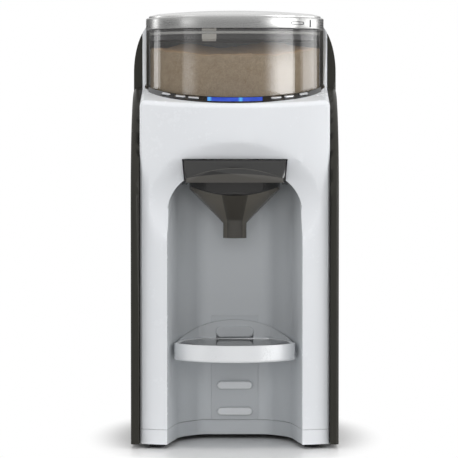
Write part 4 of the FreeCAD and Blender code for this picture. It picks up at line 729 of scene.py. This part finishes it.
# Push buttons: six ABS pills, three on each side of the display, that round over at the top.  They
# have a satin nickel plating, and each slides in its own well in the panel.
RUBS_PER_METRE = 700.0
plating = blank("satin_nickel_plating")
tree = plating.node_tree
place = add(tree, "ShaderNodeTexCoord").outputs["Object"]
rub = add(tree, "ShaderNodeTexNoise", {"Vector": place, "Scale": RUBS_PER_METRE,
                                       "Detail": 3.0}).outputs["Fac"]
rub_gloss = add(tree, "ShaderNodeMapRange", {"Value": rub, "To Min": 0.12, "To Max": 0.3}).outputs["Result"]
rub_tone = add(tree, "ShaderNodeMix", {0: rub, 6: linear("#d4d4d6"), 7: linear("#bfc0c2")},
               data_type="RGBA").outputs[2]
plated = add(tree, "ShaderNodeBsdfPrincipled", {"Base Color": rub_tone, "Metallic": 1.0,
                                                "Roughness": rub_gloss})
add(tree, "ShaderNodeOutputMaterial", {"Surface": plated.outputs["BSDF"]})
for side in ("left", "right"):
    for number in (1, 2, 3):
        node = f"button_{side}_{number}"
        remade(node, node + "_cap", plating)

# Funnel drawer: a smoky polycarbonate frame with its door, the funnel that hangs in it and the cover over the
# funnel.  The door's foot is paler, with a painted highlight along the visor's arched edge above it, and the
# funnel carries painted shade under the door and where it is deep.
DOOR_FACE, HIGHLIGHT_HALF = -114.5, 0.4
BAND_PEAK, BAND_ARCH, HIGHLIGHT_PEAK, HIGHLIGHT_ARCH = 211.8, 199, 216.0, 92


def door_band_and_painted_highlight(tree, x, y, z):
    """The paler band along the foot of the door, and the painted highlight on the visor's edge that arches
    over it.
    """
    square = add(tree, "ShaderNodeMath", {0: x, 1: x}, operation="MULTIPLY").outputs[0]
    band = add(tree, "ShaderNodeMath", {0: square, 1: -0.5 / BAND_ARCH, 2: BAND_PEAK},
               operation="MULTIPLY_ADD").outputs[0]
    band = add(tree, "ShaderNodeMath", {0: z, 1: band}, operation="LESS_THAN").outputs[0]
    edge_highlight = add(tree, "ShaderNodeMath", {0: square, 1: -0.5 / HIGHLIGHT_ARCH, 2: HIGHLIGHT_PEAK},
              operation="MULTIPLY_ADD").outputs[0]
    edge_highlight = add(tree, "ShaderNodeMath", {0: z, 1: edge_highlight, 2: HIGHLIGHT_HALF}, operation="COMPARE").outputs[0]
    both = add(tree, "ShaderNodeMath", {0: band, 1: edge_highlight}, operation="MAXIMUM").outputs[0]
    face = add(tree, "ShaderNodeMath", {0: y, 1: DOOR_FACE}, operation="LESS_THAN").outputs[0]
    return add(tree, "ShaderNodeMath", {0: both, 1: face}, operation="MULTIPLY").outputs[0]


MOUTH_LOW, MOUTH_RISE = 194.6, 0.0058
SPOUT_HALF, SPOUT_TOP, MIDDLE_FLARE, MIDDLE_SHADE = 6.0, 174.7, 0.2, 0.55


def funnel_shade(tree, x, y, z):
    """Painted shade on the funnel's mouth under the door, and on the deep middle of its cone and spout."""
    square = add(tree, "ShaderNodeMath", {0: x, 1: x}, operation="MULTIPLY").outputs[0]
    mouth = add(tree, "ShaderNodeMath", {0: square, 1: MOUTH_RISE, 2: MOUTH_LOW},
                operation="MULTIPLY_ADD").outputs[0]
    mouth = add(tree, "ShaderNodeMath", {0: z, 1: mouth}, operation="GREATER_THAN").outputs[0]
    half = add(tree, "ShaderNodeMath", {0: z, 1: MIDDLE_FLARE, 2: SPOUT_HALF - MIDDLE_FLARE * SPOUT_TOP},
               operation="MULTIPLY_ADD").outputs[0]
    half = add(tree, "ShaderNodeMath", {0: half, 1: SPOUT_HALF}, operation="MAXIMUM").outputs[0]
    either = add(tree, "ShaderNodeMath", {0: x}, operation="ABSOLUTE").outputs[0]
    middle = add(tree, "ShaderNodeMath", {0: either, 1: half}, operation="LESS_THAN").outputs[0]
    middle = add(tree, "ShaderNodeMath", {0: middle, 1: MIDDLE_SHADE}, operation="MULTIPLY").outputs[0]
    return add(tree, "ShaderNodeMath", {0: mouth, 1: middle}, operation="MAXIMUM").outputs[0]


smoky_pc = clear_plastic("smoky_polycarbonate", ("#343433", "#2b2b2a"), 0.86, 0.98, rough=0.08, IOR=1.58)
door_pc = clear_plastic("smoky_door_polycarbonate", ("#2e2e2d", "#292928"), 0.97, 0.98, rough=0.12,
                        tone=(door_band_and_painted_highlight, "#4e4c48"), IOR=1.58)
funnel_pc = clear_plastic("smoky_funnel_polycarbonate", ("#656159", "#5a564f"), 0.93, 0.97, rough=0.1,
                          tone=(funnel_shade, "#2c2b2a"), IOR=1.58)
for name, plastic in (("funnel_holder", door_pc), ("mixing_funnel", funnel_pc), ("funnel_cover", smoky_pc)):
    remade(name, name + "_moulding", plastic, degrees=35)

# Powder chute and water nozzle: a flanged tube, and a forked pipe with a tip on each side of it.  Both
# are natural acetal, and reach down through the roof of the bay over the funnel.
for name in ("powder_chute", "water_nozzle"):
    remade(name, name + "_moulding", acetal, degrees=35)

# Bottle tray: an ABS body under a pale silver lacquer, and a dark polished top let into it.  The plate behind
# it, in the lining's painted-shade grey, hangs on a peg, and its wings turn forward in a soft curve.
silver_lacquer = moulded("silver_lacquer_on_abs", "#eaecee", "#e6e8ea", (0.26, 0.32), 0.7, 0.001, IOR=1.5,
                         Metallic=0.15)
remade("tray_body", "tray_band", silver_lacquer, degrees=35)
remade("tray_insert", "tray_top_plate", black_gloss, degrees=35)
hanger = remade("tray_back_plate", "tray_hanger", painted_shade_grey_abs, degrees=35)
WING_START, WING_BLEND, WING_SLOPE, WING_GRID = 27.7, 8, 1.0, 1.5
HANGER_HALF, TRAY_TOP = 37, 80.5
gridded(hanger, (0, -HANGER_HALF, HANGER_HALF, WING_GRID), (2, TRAY_TOP, TRAY_TOP + 1, 1))
for point in hanger.data.vertices:
    off = WING_BLEND - abs(abs(point.co.x / MM) - WING_START)
    share = min(max(point.co.z / MM - TRAY_TOP, 0), 1)
    if off > 0:
        point.co.y -= share * WING_SLOPE * off * off / (4 * WING_BLEND) * MM
reshaded(hanger, 35)

# Water tank: smoky SAN, with its lid in the covers' charcoal ABS and a silicone valve in its neck.
# It stands behind the tower, on a seat whose pin opens the valve.
tank_san = clear_plastic("smoky_tank_san", ("#4a4b4b", "#424343"), 0.5, 0.92, rough=0.07, IOR=1.57)
remade("water_tank", "water_tank_moulding", tank_san, degrees=35)
remade("tank_lid", "tank_lid_moulding", charcoal_abs, edge=0.6, degrees=35)
finish(silicone, "tank_valve")

# Underside and inner works: dark mouldings, rubber feet, steel fasteners and shafts, a brass pinion
# and bush, a motor and a heater in aluminium, silicone hoses and lacquered circuit boards.
finish(dark_pp, "base_plate", "canister_seat", "power_inlet", "pump")
nitrile = moulded("black_nitrile_rubber", "#17171a", "#1e1e20", (0.6, 0.8), 0.6, 0.02, IOR=1.52)
finish(nitrile, "feet")
bright_steel = brushed_metal("bright_steel", "#b9babb", "#a5a6a8", (0.2, 0.35), 0.6)
finish(bright_steel, "base_screws", "tank_hinge_pin", "valve_spring", "drive_shaft", "gear_plate")
turned_brass = brushed_metal("turned_brass", "#c9a65a", "#b8954b", (0.2, 0.32), 0.3)
finish(turned_brass, "shaft_bush", "motor_pinion")
aluminium = brushed_metal("machined_aluminium", "#b4b6b9", "#a3a5a8", (0.28, 0.42), 0.5)
finish(aluminium, "gear_motor", "heater")
finish(acetal, "drive_gear", "flow_sensor")
finish(silicone, "water_hoses")
board = moulded("green_board_lacquer", "#1d5c34", "#164a2a", (0.15, 0.3), 2.0, 0.01, IOR=1.5)
finish(board, "display_board", "main_board", "power_supply")
